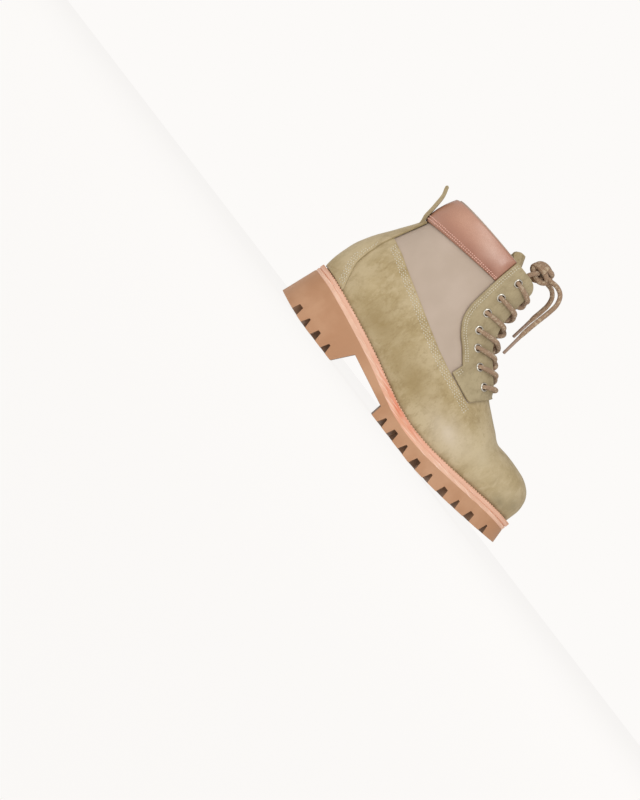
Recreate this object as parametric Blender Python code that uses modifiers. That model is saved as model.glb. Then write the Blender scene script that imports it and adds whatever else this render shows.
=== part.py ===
"""Right lace-up boot, standing empty on its sole.

Metres in the scene, millimetres in the tables. +X points to the toe, +Z up, the outer
(lateral) side faces -Y. The origin is under the middle of the outsole's plan box.
"""
import math
from collections import namedtuple

import bmesh
import bpy
from mathutils import Vector

MM = 0.001

# Driving sizes, in millimetres
HALF_LENGTH = 152.5       # half the outsole's length
CLEAR = 0.3               # gap kept between pieces that touch
OVERLAY_CLEAR = 0.65      # the same, under the curved overlays
WELT = 3.7                # welt thickness
MIDSOLE = 3.7             # midsole thickness
WALL = 2.0                # upper's wall
OVERLAY = 1.5             # eyestay and backstay thickness
COLLAR = 2.4              # padded collar thickness outside the wall
TONGUE = 3.0              # tongue thickness
INSOLE = 5.5              # insole board with its cover
LACE = 2.3                # lace radius
EYELET_RING = 3.0         # eyelet ring, middle of its rim
EYELET_RIM = 0.9          # eyelet rim radius
EDGE_SCALE = 0.972        # welt, midsole and top of the rubber, of the ground outline
FEATHER_ALONG = 0.944     # upper's lower edge, of the ground outline, lengthways
FEATHER_ACROSS = 0.90     # the same, crossways
SHAFT_MID = -1.0          # middle line of the shaft
SHAFT_MID_FROM = 55.0     # the upper leaves the sole's middle line here
SHAFT_MID_TO = 125.0      # and reaches the shaft's here
WELT_HOLE = 0.74          # opening in the welt under the foot, of the ground outline
INSOLE_SCALE = 0.732      # insole in that opening, of the ground outline
HOLE_RUN_OUT = 3.0        # the welt's cutter runs past it by this
NOTCH_DEPTH = 8.5         # side notches of the tread
NOTCH_MOUTH = 4.2         # their half width at the floor
NOTCH_CROWN = 1.5         # and at their top
NOTCH_REACH = 0.5         # how far in they run, of the sole's half width
NOTCH_RUN_OUT = 6.0       # the cutters run past the rubber by this
POCKET_DEPTH = 5.0        # pockets along the middle of the tread
POCKET_HALF = 4.6         # half their length
POCKET_ACROSS = 0.32      # half their width, of the sole's half width
POCKET_TAPER = 0.75       # their floor, of their mouth
SECTION_STEPS = 2         # mesh sections for each row of the upper's table
SIDE_STEPS = 9            # mesh steps down each side of the upper

# Ground outline of the sole: half width and middle line at each x
PlanRow = namedtuple("PlanRow", "x half mid")
SOLE_PLAN = (
    PlanRow(-152.5, 0.0, -1.0),
    PlanRow(-145.0, 21.5, -1.0),
    PlanRow(-135.0, 30.5, -1.2),
    PlanRow(-120.0, 36.8, -1.6),
    PlanRow(-100.0, 39.0, -2.2),
    PlanRow(-75.0, 38.0, -3.4),
    PlanRow(-45.0, 35.4, -5.0),
    PlanRow(-20.0, 37.4, -5.2),
    PlanRow(5.0, 44.2, -4.0),
    PlanRow(30.0, 51.0, -1.6),
    PlanRow(55.0, 54.0, 1.4),
    PlanRow(75.0, 52.6, 4.2),
    PlanRow(95.0, 47.8, 7.0),
    PlanRow(112.0, 41.4, 9.0),
    PlanRow(127.0, 34.0, 10.2),
    PlanRow(139.0, 25.6, 10.8),
    PlanRow(147.0, 16.6, 11.0),
    PlanRow(152.5, 0.0, 11.0),
)

# Side view of the welt's top edge
LineRow = namedtuple("LineRow", "x z")
WELT_LINE = (
    LineRow(-152.5, 48.4),
    LineRow(-130.0, 47.8),
    LineRow(-110.0, 45.5),
    LineRow(-80.0, 40.8),
    LineRow(-50.0, 35.2),
    LineRow(-20.0, 28.0),
    LineRow(0.0, 24.0),
    LineRow(22.0, 22.2),
    LineRow(42.0, 23.2),
    LineRow(62.0, 25.9),
    LineRow(82.0, 29.2),
    LineRow(102.0, 32.8),
    LineRow(122.0, 36.2),
    LineRow(140.0, 38.0),
    LineRow(152.5, 38.4),
)

# Side view of the tread, where it turns
HEEL_FLAT_BACK = -112.0   # the heel rolls up behind this
HEEL_ROLL = 4.5           # rise of the heel's back edge
HEEL_ROLL_POWER = 1.6     # how late that rise comes
BREAST_FOOT = -74.0       # heel breast, at the floor
BREAST_TOP = -64.0        # heel breast, under the waist
WAIST_BACK_Z = 21.2       # underside of the waist at the breast
WAIST_FRONT_Z = 11.2      # underside of the waist at the forefoot
FOREFOOT_BACK = -12.0     # front end of the waist
SPRING_START = 42.0       # toe spring begins
TOE_SPRING = 17.0         # rise of the tread at the toe tip
SPRING_POWER = 1.35       # how late the spring comes

# Notches in the sole's side, by their place along the boot
FOREFOOT_NOTCHES = (-0.5, 14.0, 30.0, 47.0, 64.5, 83.0, 99.5, 116.5, 135.0)
HEEL_NOTCHES = (-129.0, -114.5, -100.0, -85.0)
FOREFOOT_POCKETS = (6.5, 22.0, 38.5, 56.0, 74.0, 92.0, 109.0)
HEEL_POCKETS = (-121.5, -107.0, -92.5)

# The upper: each row is a line across the side view, from the vamp or throat edge (top)
# to the feather line or up the back (low). gap is half the throat's width, half the widest
# half width, widest how far down that lies, and squareness the power of the arch over it.
UpperRow = namedtuple("UpperRow", "top_x top_z low_x rise gap half widest squareness")
UPPER = (
    UpperRow(144.0, 41.0, 144.0, 0.0, 0.0, 0.0, 0.70, 2.3),
    UpperRow(143.6, 52.0, 142.0, 0.0, 0.0, 10.6, 0.70, 2.4),
    UpperRow(140.4, 62.5, 136.5, 0.0, 0.0, 19.6, 0.70, 2.4),
    UpperRow(132.0, 71.4, 127.0, 0.0, 0.0, 28.8, 0.70, 2.4),
    UpperRow(118.0, 75.8, 113.0, 0.0, 0.0, 37.4, 0.72, 2.4),
    UpperRow(101.0, 76.6, 95.0, 0.0, 0.0, 44.0, 0.74, 2.35),
    UpperRow(85.0, 76.2, 75.0, 0.0, 0.0, 47.8, 0.76, 2.2),
    UpperRow(71.0, 81.0, 54.0, 0.0, 0.0, 49.6, 0.78, 2.1),
    UpperRow(58.0, 87.4, 31.0, 0.0, 0.0, 48.0, 0.78, 2.0),
    UpperRow(44.5, 94.5, 3.0, 0.0, 0.0, 43.4, 0.74, 2.0),
    UpperRow(38.5, 101.0, -22.0, 0.0, 8.5, 40.4, 0.68, 2.0),
    UpperRow(32.0, 106.0, -50.0, 0.0, 11.0, 39.0, 0.63, 2.0),
    UpperRow(25.5, 110.5, -80.0, 0.0, 12.0, 38.4, 0.59, 2.0),
    UpperRow(19.0, 115.0, -106.0, 0.3, 12.6, 38.0, 0.56, 2.0),
    UpperRow(13.0, 119.2, -126.0, 0.6, 13.0, 37.6, 0.55, 2.0),
    UpperRow(8.0, 123.8, -138.0, 0.9, 13.3, 37.2, 0.54, 2.0),
    UpperRow(4.0, 128.8, -143.8, 2.0, 13.5, 36.8, 0.53, 2.0),
    UpperRow(0.5, 134.6, -145.6, 15.5, 13.7, 36.6, 0.52, 2.0),
    UpperRow(-3.0, 141.6, -144.8, 31.5, 13.9, 36.6, 0.51, 2.0),
    UpperRow(-6.0, 150.0, -140.6, 49.5, 14.1, 37.0, 0.50, 2.0),
    UpperRow(-8.3, 159.5, -131.0, 74.0, 14.3, 37.8, 0.50, 2.0),
    UpperRow(-9.7, 168.5, -121.8, 101.0, 14.5, 38.8, 0.50, 2.0),
    UpperRow(-10.6, 180.0, -120.2, 120.5, 14.8, 39.8, 0.50, 2.0),
    UpperRow(-13.5, 190.4, -118.4, 138.5, 15.0, 40.4, 0.50, 2.0),
)
THROAT_ROW = 9            # the throat opens behind this row
BACK_ROW = 16             # from this row up, the two sides close at the back
COLLAR_ROW = 21           # the collar's lower seam
TOP_ROW = len(UPPER) - 1

# Rear and lower edge of the eyestay in the side view, from its foot to the topline
EYESTAY_EDGE = (
    LineRow(36.0, 75.6),
    LineRow(14.0, 79.0),
    LineRow(2.5, 81.0),
    LineRow(3.5, 92.5),
    LineRow(-10.0, 102.5),
    LineRow(-20.0, 108.8),
    LineRow(-30.0, 118.6),
    LineRow(-35.0, 129.8),
    LineRow(-37.2, 142.0),
    LineRow(-38.8, 157.0),
    LineRow(-40.2, 172.0),
    LineRow(-41.0, 196.0),
)
EYESTAY_MIN_GAP = 4.0     # the two eyestays keep this from the middle line
EYESTAY_PARTS = (0.0, 0.12, 0.42, 0.72, 1.0)   # mesh lines across it

# Front edge of the backstay in the side view, from the feather line to the collar
BACKSTAY_EDGE = (
    LineRow(-112.0, 38.0),
    LineRow(-118.0, 50.0),
    LineRow(-124.0, 62.0),
    LineRow(-129.5, 76.0),
    LineRow(-129.5, 98.0),
    LineRow(-127.5, 112.0),
    LineRow(-124.6, 125.0),
    LineRow(-118.4, 152.0),
)
BACKSTAY_FOOT = 13.55     # station where the backstay meets the feather line
BACKSTAY_TOP = 20.95      # just under the collar
BACKSTAY_PARTS = (0.0, 0.38, 0.72, 0.92, 1.0)  # mesh lines from its edge to the back

# Eyelet centres on either side, in the side view, from the vamp up
EYELETS = (
    LineRow(30.5, 95.5),
    LineRow(14.0, 103.8),
    LineRow(-1.0, 113.0),
    LineRow(-13.5, 124.5),
    LineRow(-21.5, 140.2),
    LineRow(-24.8, 158.5),
    LineRow(-25.8, 178.5),
)

# The tongue: station on the upper's table, how far it leans back and stands up, half width
TongueRow = namedtuple("TongueRow", "station back up half")
TONGUE_ROWS = (
    TongueRow(8.6, 0.6, 0.0, 9.0),
    TongueRow(9.5, 0.4, 0.0, 15.0),
    TongueRow(11.0, 0.0, 0.0, 20.0),
    TongueRow(13.0, 0.0, 0.0, 22.0),
    TongueRow(15.0, 0.0, 0.0, 23.5),
    TongueRow(17.0, 0.0, 0.0, 24.5),
    TongueRow(19.0, 0.6, 0.0, 25.0),
    TongueRow(20.5, 3.0, 0.0, 25.5),
    TongueRow(21.6, 7.5, 0.0, 26.0),
    TongueRow(22.5, 14.0, 0.0, 26.0),
    TongueRow(23.0, 20.5, 2.0, 25.5),
    TongueRow(23.0, 25.5, 10.0, 22.0),
)
TONGUE_STEPS = 6
TONGUE_SPLIT = 2          # mesh rows for each row of the table
TONGUE_CLEAR = 0.9        # between the wall and the tongue
TONGUE_CROWN = 0.35       # drop of its corners, of its height above the collar

# Pull tab: middle line in the side view, from the backstay's top to its free end
PULL_TAB = (
    LineRow(-126.6, 147.5),
    LineRow(-127.6, 156.0),
    LineRow(-128.6, 166.0),
    LineRow(-130.8, 175.0),
    LineRow(-134.6, 182.0),
)
TAB_THICK = 3.4
TAB_HALF = 9.0
TAB_STEPS = 10

# One strand of a crossing, from under an eyestay's edge to the next eyelet across the throat:
# share of the rise between the eyelets, distance from the middle line as shares of the throat's
# half width and of the eyelet's, with an inset, then height over the instep or over the eyestay
StrandRow = namedtuple("StrandRow", "rise gap reach inset eyestay lift hump")
STRAND = (
    StrandRow(0.22, -1.00, 0.0, 4.6, 0, 0.6, 0.0),
    StrandRow(0.36, -0.38, 0.0, 0.0, 0, 2.2, 0.6),
    StrandRow(0.50, 0.00, 0.0, 0.0, 0, 3.6, 1.0),
    StrandRow(0.66, 0.45, 0.0, 0.0, 0, 4.8, 0.6),
    StrandRow(0.80, 1.00, 0.0, 0.0, 1, 0.9, 0.0),
    StrandRow(0.92, 0.50, 0.5, 0.0, 1, 0.8, 0.0),
    StrandRow(1.00, 0.00, 1.0, -1.0, 1, 2.1, 0.0),
)
STRAND_HUMP = 1.3         # one strand of each pair passes over the other by this

# Bottom bar, from the middle line to the first eyelet, by the same columns
BarRow = namedtuple("BarRow", "gap reach inset eyestay lift")
BAR = (
    BarRow(0.0, 0.0, 0.0, 0, 5.2),
    BarRow(0.5, 0.0, 0.0, 0, 5.0),
    BarRow(1.0, 0.0, 0.0, 1, 0.8),
    BarRow(0.5, 0.5, 0.0, 1, 0.8),
    BarRow(0.0, 1.0, -1.0, 1, 2.4),
)

# Lace: knot, and the free ends' routes as hand-chosen points
KNOT = (-19.0, SHAFT_MID, 203.5)
KNOT_RING = 7.4           # the knot's turns
KNOT_CORD = 3.3           # their cord, fattened
KNOT_CORE = 7.77          # the ball inside them
KNOT_TURNS = ((0.35, 0.0), (1.25, 0.9), (1.35, -0.8))   # tilt and turn of each, in radians
RouteRow = namedtuple("RouteRow", "x y z")
RISER = (
    RouteRow(-25.5, 17.0, 183.0),
    RouteRow(-25.0, 15.5, 190.0),
    RouteRow(-23.0, 11.8, 196.8),
)
LONG_END = (
    RouteRow(-8.0, -5.0, 205.5),
    RouteRow(0.5, -7.0, 206.8),
    RouteRow(8.0, -9.0, 204.0),
    RouteRow(12.6, -10.8, 196.4),
    RouteRow(13.8, -12.2, 187.0),
    RouteRow(14.0, -13.0, 177.0),
    RouteRow(14.2, -13.4, 167.0),
    RouteRow(14.8, -13.5, 157.0),
    RouteRow(15.6, -13.5, 150.0),
)
SHORT_END = (
    RouteRow(-8.0, 5.0, 202.5),
    RouteRow(-1.0, 7.2, 202.6),
    RouteRow(5.2, 9.6, 198.8),
    RouteRow(8.6, 11.6, 191.6),
    RouteRow(9.6, 12.8, 183.6),
    RouteRow(10.0, 13.4, 175.0),
    RouteRow(10.6, 13.6, 168.0),
)
AGLET = 20.0              # length of the tipped ends
AGLET_RADIUS = 1.7


# Curves through the tables

def smooth(knots, values):
    """Function that runs smoothly through the values, with no overshoot between them."""
    count = len(knots)
    steps = [knots[i + 1] - knots[i] for i in range(count - 1)]
    slopes = [(values[i + 1] - values[i]) / steps[i] for i in range(count - 1)]
    tangents = [slopes[0]]
    for i in range(1, count - 1):
        if slopes[i - 1] * slopes[i] <= 0:
            tangents.append(0.0)
        else:
            before = 2 * steps[i] + steps[i - 1]
            after = steps[i] + 2 * steps[i - 1]
            tangents.append((before + after) / (before / slopes[i - 1] + after / slopes[i]))
    tangents.append(slopes[-1])

    def value(at):
        at = min(max(at, knots[0]), knots[-1])
        i = 0
        while i < count - 2 and at > knots[i + 1]:
            i += 1
        t = (at - knots[i]) / steps[i]
        return (values[i] * (1 + 2 * t) * (1 - t) ** 2
                + values[i + 1] * t * t * (3 - 2 * t)
                + steps[i] * (tangents[i] * t * (1 - t) ** 2 - tangents[i + 1] * t * t * (1 - t)))

    return value


def column(table, knot, name):
    """One column of a table as a smooth function of another."""
    return smooth([getattr(row, knot) for row in table], [getattr(row, name) for row in table])


plan_mid_raw = column(SOLE_PLAN, "x", "mid")
plan_square = smooth([row.x for row in SOLE_PLAN], [row.half ** 2 for row in SOLE_PLAN])
welt_top = column(WELT_LINE, "x", "z")


def plan_half(x, along=1.0, across=1.0):
    """Half width of the ground outline, or of a copy of it scaled in plan."""
    return across * math.sqrt(max(plan_square(x / along), 0.0))


PLAN_SAMPLES = [HALF_LENGTH * (i / 100.0) for i in range(-100, 101)]
PLAN_SHIFT = -0.5 * (max(plan_mid_raw(x) + plan_half(x) for x in PLAN_SAMPLES)
                     + min(plan_mid_raw(x) - plan_half(x) for x in PLAN_SAMPLES))


def plan_mid(x):
    """Middle line of the boot, swung inwards at the toe; the plan box is centred on y = 0."""
    return plan_mid_raw(x) + PLAN_SHIFT


def tread_z(x):
    """Side view of the tread: rolled heel, breast, waist, flat forefoot and toe spring."""
    if x < HEEL_FLAT_BACK:
        return HEEL_ROLL * ((HEEL_FLAT_BACK - x) / (HEEL_FLAT_BACK + HALF_LENGTH)) ** HEEL_ROLL_POWER
    if x <= BREAST_FOOT:
        return 0.0
    if x <= BREAST_TOP:
        return WAIST_BACK_Z * (x - BREAST_FOOT) / (BREAST_TOP - BREAST_FOOT)
    if x < FOREFOOT_BACK:
        share = (x - BREAST_TOP) / (FOREFOOT_BACK - BREAST_TOP)
        return WAIST_BACK_Z + share * (WAIST_FRONT_Z - WAIST_BACK_Z)
    if x <= SPRING_START:
        return 0.0
    return TOE_SPRING * ((x - SPRING_START) / (HALF_LENGTH - SPRING_START)) ** SPRING_POWER


# The upper's own surface

UPPER_COLUMNS = {
    name: smooth(list(range(len(UPPER))), [getattr(row, name) for row in UPPER])
    for name in ("top_x", "top_z", "low_x", "rise", "half", "widest", "squareness")
}
gap_behind_throat = smooth(
    [THROAT_ROW + i for i in range(len(UPPER) - THROAT_ROW)],
    [row.gap for row in UPPER[THROAT_ROW:]],
)

Section = namedtuple("Section", "top_x top_z low_x low_z gap half low widest squareness")


def section(station):
    """The upper's section at a station, with its lower end on the feather line or the back."""
    row = {name: function(station) for name, function in UPPER_COLUMNS.items()}
    low_half = plan_half(row["low_x"], FEATHER_ALONG, FEATHER_ACROSS)
    gap = gap_behind_throat(station) if station > THROAT_ROW else 0.0
    return Section(
        row["top_x"], row["top_z"], row["low_x"],
        welt_top(row["low_x"]) + CLEAR + row["rise"],
        gap, max(row["half"], 1e-6), 0.0 if station >= BACK_ROW else min(low_half, row["half"]),
        row["widest"], row["squareness"],
    )


def upper_mid(x, z):
    """Middle line of the upper: the sole's low down, straight in the shaft."""
    share = min(max((z - SHAFT_MID_FROM) / (SHAFT_MID_TO - SHAFT_MID_FROM), 0.0), 1.0)
    share = share * share * (3 - 2 * share)
    return plan_mid(x) + share * (SHAFT_MID - plan_mid(x))


def side_point(sec, down):
    """Side-view point a share of the way down a section's line."""
    return (sec.top_x + down * (sec.low_x - sec.top_x), sec.top_z + down * (sec.low_z - sec.top_z))


def half_at(sec, down):
    """Half width of a section: an arch from the throat's edge, then a tuck to the low edge."""
    if down <= sec.widest:
        arch = (1 - (1 - down / sec.widest) ** sec.squareness) ** (2 / sec.squareness)
        return math.sqrt(sec.gap ** 2 + (sec.half ** 2 - sec.gap ** 2) * arch)
    tuck = ((down - sec.widest) / (1 - sec.widest)) ** 2
    return math.sqrt(max(sec.half ** 2 - (sec.half ** 2 - sec.low ** 2) * tuck, 0.0))


def skin(station, down, side):
    """Point of the upper's outside, in millimetres."""
    sec = section(station)
    x, z = side_point(sec, down)
    return Vector((x, upper_mid(x, z) + side * half_at(sec, down), z))


def skin_lifted(station, down, side, lift):
    """Point of the upper's outside, lifted out of it by a distance."""
    step = 0.004
    low = max(down - step, 0.0)
    high = min(down + step, 1.0)
    last = min(station + 0.02, TOP_ROW)
    along = skin(last, down, side) - skin(last - 0.04, down, side)
    across = skin(station, high, side) - skin(station, low, side)
    normal = along.cross(across) * (1 if side < 0 else -1)
    if half_at(section(station), down) < 0.01:
        normal.y = 0.0
    return skin(station, down, side) + normal.normalized() * lift


def throat_surface(station, y):
    """The foot's own instep: the upper's arch carried on across the open throat."""
    sec = section(station)
    reach = (y * y - sec.gap ** 2) / (sec.half ** 2 - sec.gap ** 2)
    down = sec.widest * (1 - math.sqrt(max(1 - reach, 0.0)))
    x, z = side_point(sec, down)
    return Vector((x, upper_mid(x, z) + y, z))


def over_throat(station, y, lift):
    """Point over (or under) the instep at a distance from the middle line."""
    step = 0.05
    last = min(station + step, TOP_ROW)
    along = throat_surface(last, y) - throat_surface(last - 2 * step, y)
    across = throat_surface(station, y + step) - throat_surface(station, y - step)
    normal = along.cross(across).normalized()
    return throat_surface(station, y) - normal * lift


def crossing(station, edge):
    """How far down a section its line meets an edge drawn in the side view."""
    sec = section(station)
    run_x = sec.low_x - sec.top_x
    run_z = sec.low_z - sec.top_z
    found = []
    for first, second in zip(edge, edge[1:]):
        edge_x = second.x - first.x
        edge_z = second.z - first.z
        cross = run_x * edge_z - run_z * edge_x
        if abs(cross) < 1e-9:
            continue
        off_x = first.x - sec.top_x
        off_z = first.z - sec.top_z
        along = (off_x * run_z - off_z * run_x) / cross
        down = (off_x * edge_z - off_z * edge_x) / cross
        if -1e-6 <= along <= 1 + 1e-6 and 0 <= down <= 1:
            found.append(down)
    return min(found)


def locate(x, z):
    """Station and share down of a side-view point on the upper, behind the throat's foot."""
    low = THROAT_ROW
    high = TOP_ROW
    for _ in range(50):
        middle = 0.5 * (low + high)
        sec = section(middle)
        turn = ((sec.low_x - sec.top_x) * (z - sec.top_z) - (sec.low_z - sec.top_z) * (x - sec.top_x))
        if turn < 0:
            low = middle
        else:
            high = middle
    sec = section(low)
    run = Vector((sec.low_x - sec.top_x, sec.low_z - sec.top_z))
    down = run.dot(Vector((x - sec.top_x, z - sec.top_z))) / run.length_squared
    return low, down


# Scene, collections and materials

for leftover in list(bpy.data.objects):
    bpy.data.objects.remove(leftover, do_unlink=True)

boot = bpy.data.collections.new("lace_up_boot")
cutters = bpy.data.collections.new("cutters")
bpy.context.scene.collection.children.link(boot)
bpy.context.scene.collection.children.link(cutters)


def finish(name, colour, roughness, metallic=0.0):
    """Principled material."""
    material = bpy.data.materials.new(name)
    material.use_nodes = True
    shader = material.node_tree.nodes["Principled BSDF"]
    shader.inputs["Base Color"].default_value = (*colour, 1.0)
    shader.inputs["Roughness"].default_value = roughness
    shader.inputs["Metallic"].default_value = metallic
    return material


suede = finish("olive_suede", (0.45, 0.38, 0.22), 0.9)
collar_leather = finish("rose_brown_leather", (0.48, 0.24, 0.17), 0.45)
rubber = finish("caramel_rubber", (0.50, 0.28, 0.15), 0.6)
welt_strip = finish("coral_welt", (0.80, 0.36, 0.24), 0.6)
midsole_strip = finish("pale_pink_midsole", (0.85, 0.50, 0.36), 0.6)
board = finish("tan_insole", (0.50, 0.36, 0.22), 0.8)
steel = finish("nickel_steel", (0.75, 0.73, 0.68), 0.3, 1.0)
lace_cord = finish("brown_lace", (0.36, 0.24, 0.16), 0.85)
lace_tip = finish("clear_brown_tip", (0.30, 0.20, 0.14), 0.35)


def add_object(name, mesh, material, collection=boot):
    """Object with its material, in a collection."""
    obj = bpy.data.objects.new(name, mesh)
    collection.objects.link(obj)
    if material is not None:
        mesh.materials.append(material)
    if collection is cutters:
        obj.hide_render = True
        obj.display_type = "WIRE"
    return obj


def mesh_from(name, form):
    """Mesh data from a bmesh, smooth where it turns gently."""
    mesh = bpy.data.meshes.new(name)
    form.to_mesh(mesh)
    form.free()
    mesh.shade_smooth()
    mesh.set_sharp_from_angle(angle=math.radians(40))
    return mesh


def sheet(name, grids, material, thickness, offset):
    """Open surface through grids of points, in millimetres, welded where they meet, with a wall."""
    form = bmesh.new()
    for rows in grids:
        grid = [[form.verts.new(point * MM) for point in row] for row in rows]
        for first, second in zip(grid, grid[1:]):
            for i in range(len(first) - 1):
                form.faces.new((first[i], first[i + 1], second[i + 1], second[i]))
    bmesh.ops.remove_doubles(form, verts=form.verts, dist=2e-5)
    bmesh.ops.dissolve_degenerate(form, dist=1e-6, edges=form.edges)
    bmesh.ops.triangulate(form, faces=form.faces, quad_method="FIXED")
    obj = add_object(name, mesh_from(name, form), material)
    shell = obj.modifiers.new("wall", "SOLIDIFY")
    shell.thickness = thickness * MM
    shell.offset = offset
    return obj


def cut(obj, cutter, operation="DIFFERENCE"):
    """Boolean of one object by another."""
    step = obj.modifiers.new(cutter.name, "BOOLEAN")
    step.operation = operation
    step.object = cutter
    step.solver = "EXACT"
    return step


# Sole: sections along the boot, each a four-cornered slice

def slice_places(breaks=(), steps=34):
    """Places along the boot from -1 to 1, closer together at the ends, with the breaks."""
    places = [-math.cos(math.pi * i / steps) for i in range(steps + 1)]
    marks = [mark / HALF_LENGTH for mark in breaks]
    kept = [place for place in places if all(abs(place - mark) > 0.012 for mark in marks)]
    return sorted(kept + marks)


def sole_layer(name, material, low, high, places, collection=boot):
    """Solid between two scaled copies of the ground outline; low and high are (scale, height)."""
    form = bmesh.new()
    slices = []
    for place in places:
        corners = []
        for (scale, height), sides in ((low, (-1, 1)), (high, (1, -1))):
            x = place * HALF_LENGTH * scale
            half = plan_half(x, scale, scale)
            for side in sides:
                corners.append(form.verts.new(Vector((x, plan_mid(x) + side * half, height(x))) * MM))
        slices.append(corners)
    for first, second in zip(slices, slices[1:]):
        for i in range(4):
            j = (i + 1) % 4
            form.faces.new((first[i], first[j], second[j], second[i]))
    bmesh.ops.remove_doubles(form, verts=form.verts, dist=1e-6)
    bmesh.ops.recalc_face_normals(form, faces=form.faces)
    return add_object(name, mesh_from(name, form), material, collection)


def rubber_top(x):
    return welt_top(x) - WELT - MIDSOLE - 2 * CLEAR


def notch(form, x, side):
    """Wedge cut into the tread from its edge, square to the outline."""
    edge = Vector((x, plan_mid(x) + side * plan_half(x), 0.0))
    ahead = Vector((x + 1.0, plan_mid(x + 1.0) + side * plan_half(x + 1.0), 0.0))
    along = (ahead - edge).normalized()
    inwards = Vector((-along.y, along.x, 0.0)) * -side
    for vert in bmesh.ops.create_cube(form, size=1.0)["verts"]:
        crown = vert.co.z > 0
        spread = math.copysign(NOTCH_CROWN if crown else NOTCH_MOUTH, vert.co.x)
        reach = NOTCH_REACH * plan_half(x) if vert.co.y > 0 else -NOTCH_RUN_OUT
        place = edge + along * spread + inwards * reach
        place.z = tread_z(x) + (NOTCH_DEPTH if crown else -NOTCH_RUN_OUT)
        vert.co = place * MM


def pocket(form, x):
    """Tapered pocket in the middle of the tread."""
    for vert in bmesh.ops.create_cube(form, size=1.0)["verts"]:
        floor = vert.co.z > 0
        share = POCKET_TAPER if floor else 1.0
        place_x = x + math.copysign(POCKET_HALF * share, vert.co.x)
        place_y = plan_mid(x) + math.copysign(POCKET_ACROSS * plan_half(x) * share, vert.co.y)
        place_z = tread_z(x) + (POCKET_DEPTH if floor else -POCKET_DEPTH)
        vert.co = Vector((place_x, place_y, place_z)) * MM


def make_outsole():
    """Moulded rubber: heel, waist and forefoot in one, with notched edges and a pocketed middle."""
    breaks = (HEEL_FLAT_BACK, BREAST_FOOT, BREAST_TOP, FOREFOOT_BACK - 0.4, FOREFOOT_BACK + 0.4,
              SPRING_START)
    outsole = sole_layer("outsole", rubber, (1.0, tread_z), (EDGE_SCALE, rubber_top), slice_places(breaks))
    for side, label in ((-1, "lateral"), (1, "medial")):
        form = bmesh.new()
        for x in HEEL_NOTCHES + FOREFOOT_NOTCHES:
            notch(form, x, side)
        bmesh.ops.recalc_face_normals(form, faces=form.faces)
        wedges = add_object(f"notches_{label}", mesh_from("notches", form), None, cutters)
        cut(outsole, wedges)
    form = bmesh.new()
    for x in HEEL_POCKETS + FOREFOOT_POCKETS:
        pocket(form, x)
    bmesh.ops.recalc_face_normals(form, faces=form.faces)
    cut(outsole, add_object("pockets", mesh_from("pockets", form), None, cutters))
    return outsole


def make_sole_layers():
    """Midsole, welt ring and insole board, all following the welt's line."""
    places = slice_places()

    def under_welt(x):
        return welt_top(x) - WELT

    def midsole_top(x):
        return under_welt(x) - CLEAR

    def midsole_low(x):
        return midsole_top(x) - MIDSOLE

    def hole_low(x):
        return under_welt(x) - HOLE_RUN_OUT

    def hole_top(x):
        return welt_top(x) + HOLE_RUN_OUT

    def insole_low(x):
        return midsole_top(x) + CLEAR

    def insole_top(x):
        return insole_low(x) + INSOLE

    sole_layer("midsole", midsole_strip, (EDGE_SCALE, midsole_low), (EDGE_SCALE, midsole_top), places)
    welt = sole_layer("welt", welt_strip, (EDGE_SCALE, under_welt), (EDGE_SCALE, welt_top), places)
    hole = sole_layer("welt_hole", None, (WELT_HOLE, hole_low), (WELT_HOLE, hole_top), places, cutters)
    cut(welt, hole)
    sole_layer("insole", board, (INSOLE_SCALE, insole_low), (INSOLE_SCALE, insole_top), places)


# Upper and its overlays

def both_sides(place, stations, shares):
    """Lateral and medial grids of a surface, both with their faces turned out."""
    lateral = [[place(s, share, -1) for share in shares(s)[::-1]] for s in stations]
    medial = [[place(s, share, 1) for share in shares(s)] for s in stations]
    return lateral, medial


STATIONS = [i / SECTION_STEPS for i in range(SECTION_STEPS * TOP_ROW + 1)]
SHARES = [0.5 * (1 - math.cos(math.pi * i / SIDE_STEPS)) for i in range(SIDE_STEPS + 1)]


def stations_from(first, last):
    """The upper's own stations between two, with both ends."""
    inside = [s for s in STATIONS if first + 0.1 < s < last - 0.1]
    return [first] + inside + [last]


def shares_from(first, last):
    """The upper's own shares down between two, with both ends, so that overlays lie parallel."""
    inside = [share for share in SHARES if first + 0.015 < share < last - 0.015]
    return [first] + inside + [last]


def make_upper():
    """Vamp and quarters in one wall, open at the collar, the throat and underneath."""
    return sheet("upper", both_sides(skin, STATIONS, lambda s: SHARES), suede, WALL, -1.0)


def eyestay_front(station):
    """Share down where the eyestay begins: the throat's edge, clear of the middle line."""
    sec = section(station)
    if sec.gap >= EYESTAY_MIN_GAP:
        return 0.0
    reach = (EYESTAY_MIN_GAP ** 2 - sec.gap ** 2) / (sec.half ** 2 - sec.gap ** 2)
    return sec.widest * (1 - math.sqrt(1 - reach))


def on_skin(station, down, side):
    """Underside of an overlay, just clear of the upper."""
    return skin_lifted(station, down, side, OVERLAY_CLEAR)


def make_eyestays():
    """Suede overlays along the throat, with a squared foot on the vamp."""

    def shares(station):
        first = eyestay_front(station)
        last = crossing(station, EYESTAY_EDGE)
        return [first + (last - first) * part for part in EYESTAY_PARTS]

    lateral, medial = both_sides(on_skin, stations_from(THROAT_ROW, TOP_ROW), shares)
    sheet("eyestay_lateral", [lateral], suede, OVERLAY, 1.0)
    sheet("eyestay_medial", [medial], suede, OVERLAY, 1.0)


def make_collar():
    """Padded leather band between the eyestays, from the lower seam to the topline."""

    def shares(station):
        return shares_from(crossing(station, EYESTAY_EDGE) + 0.006, 1.0)

    grids = both_sides(on_skin, stations_from(COLLAR_ROW, TOP_ROW), shares)
    return sheet("collar", grids, collar_leather, COLLAR, 1.0)


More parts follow.
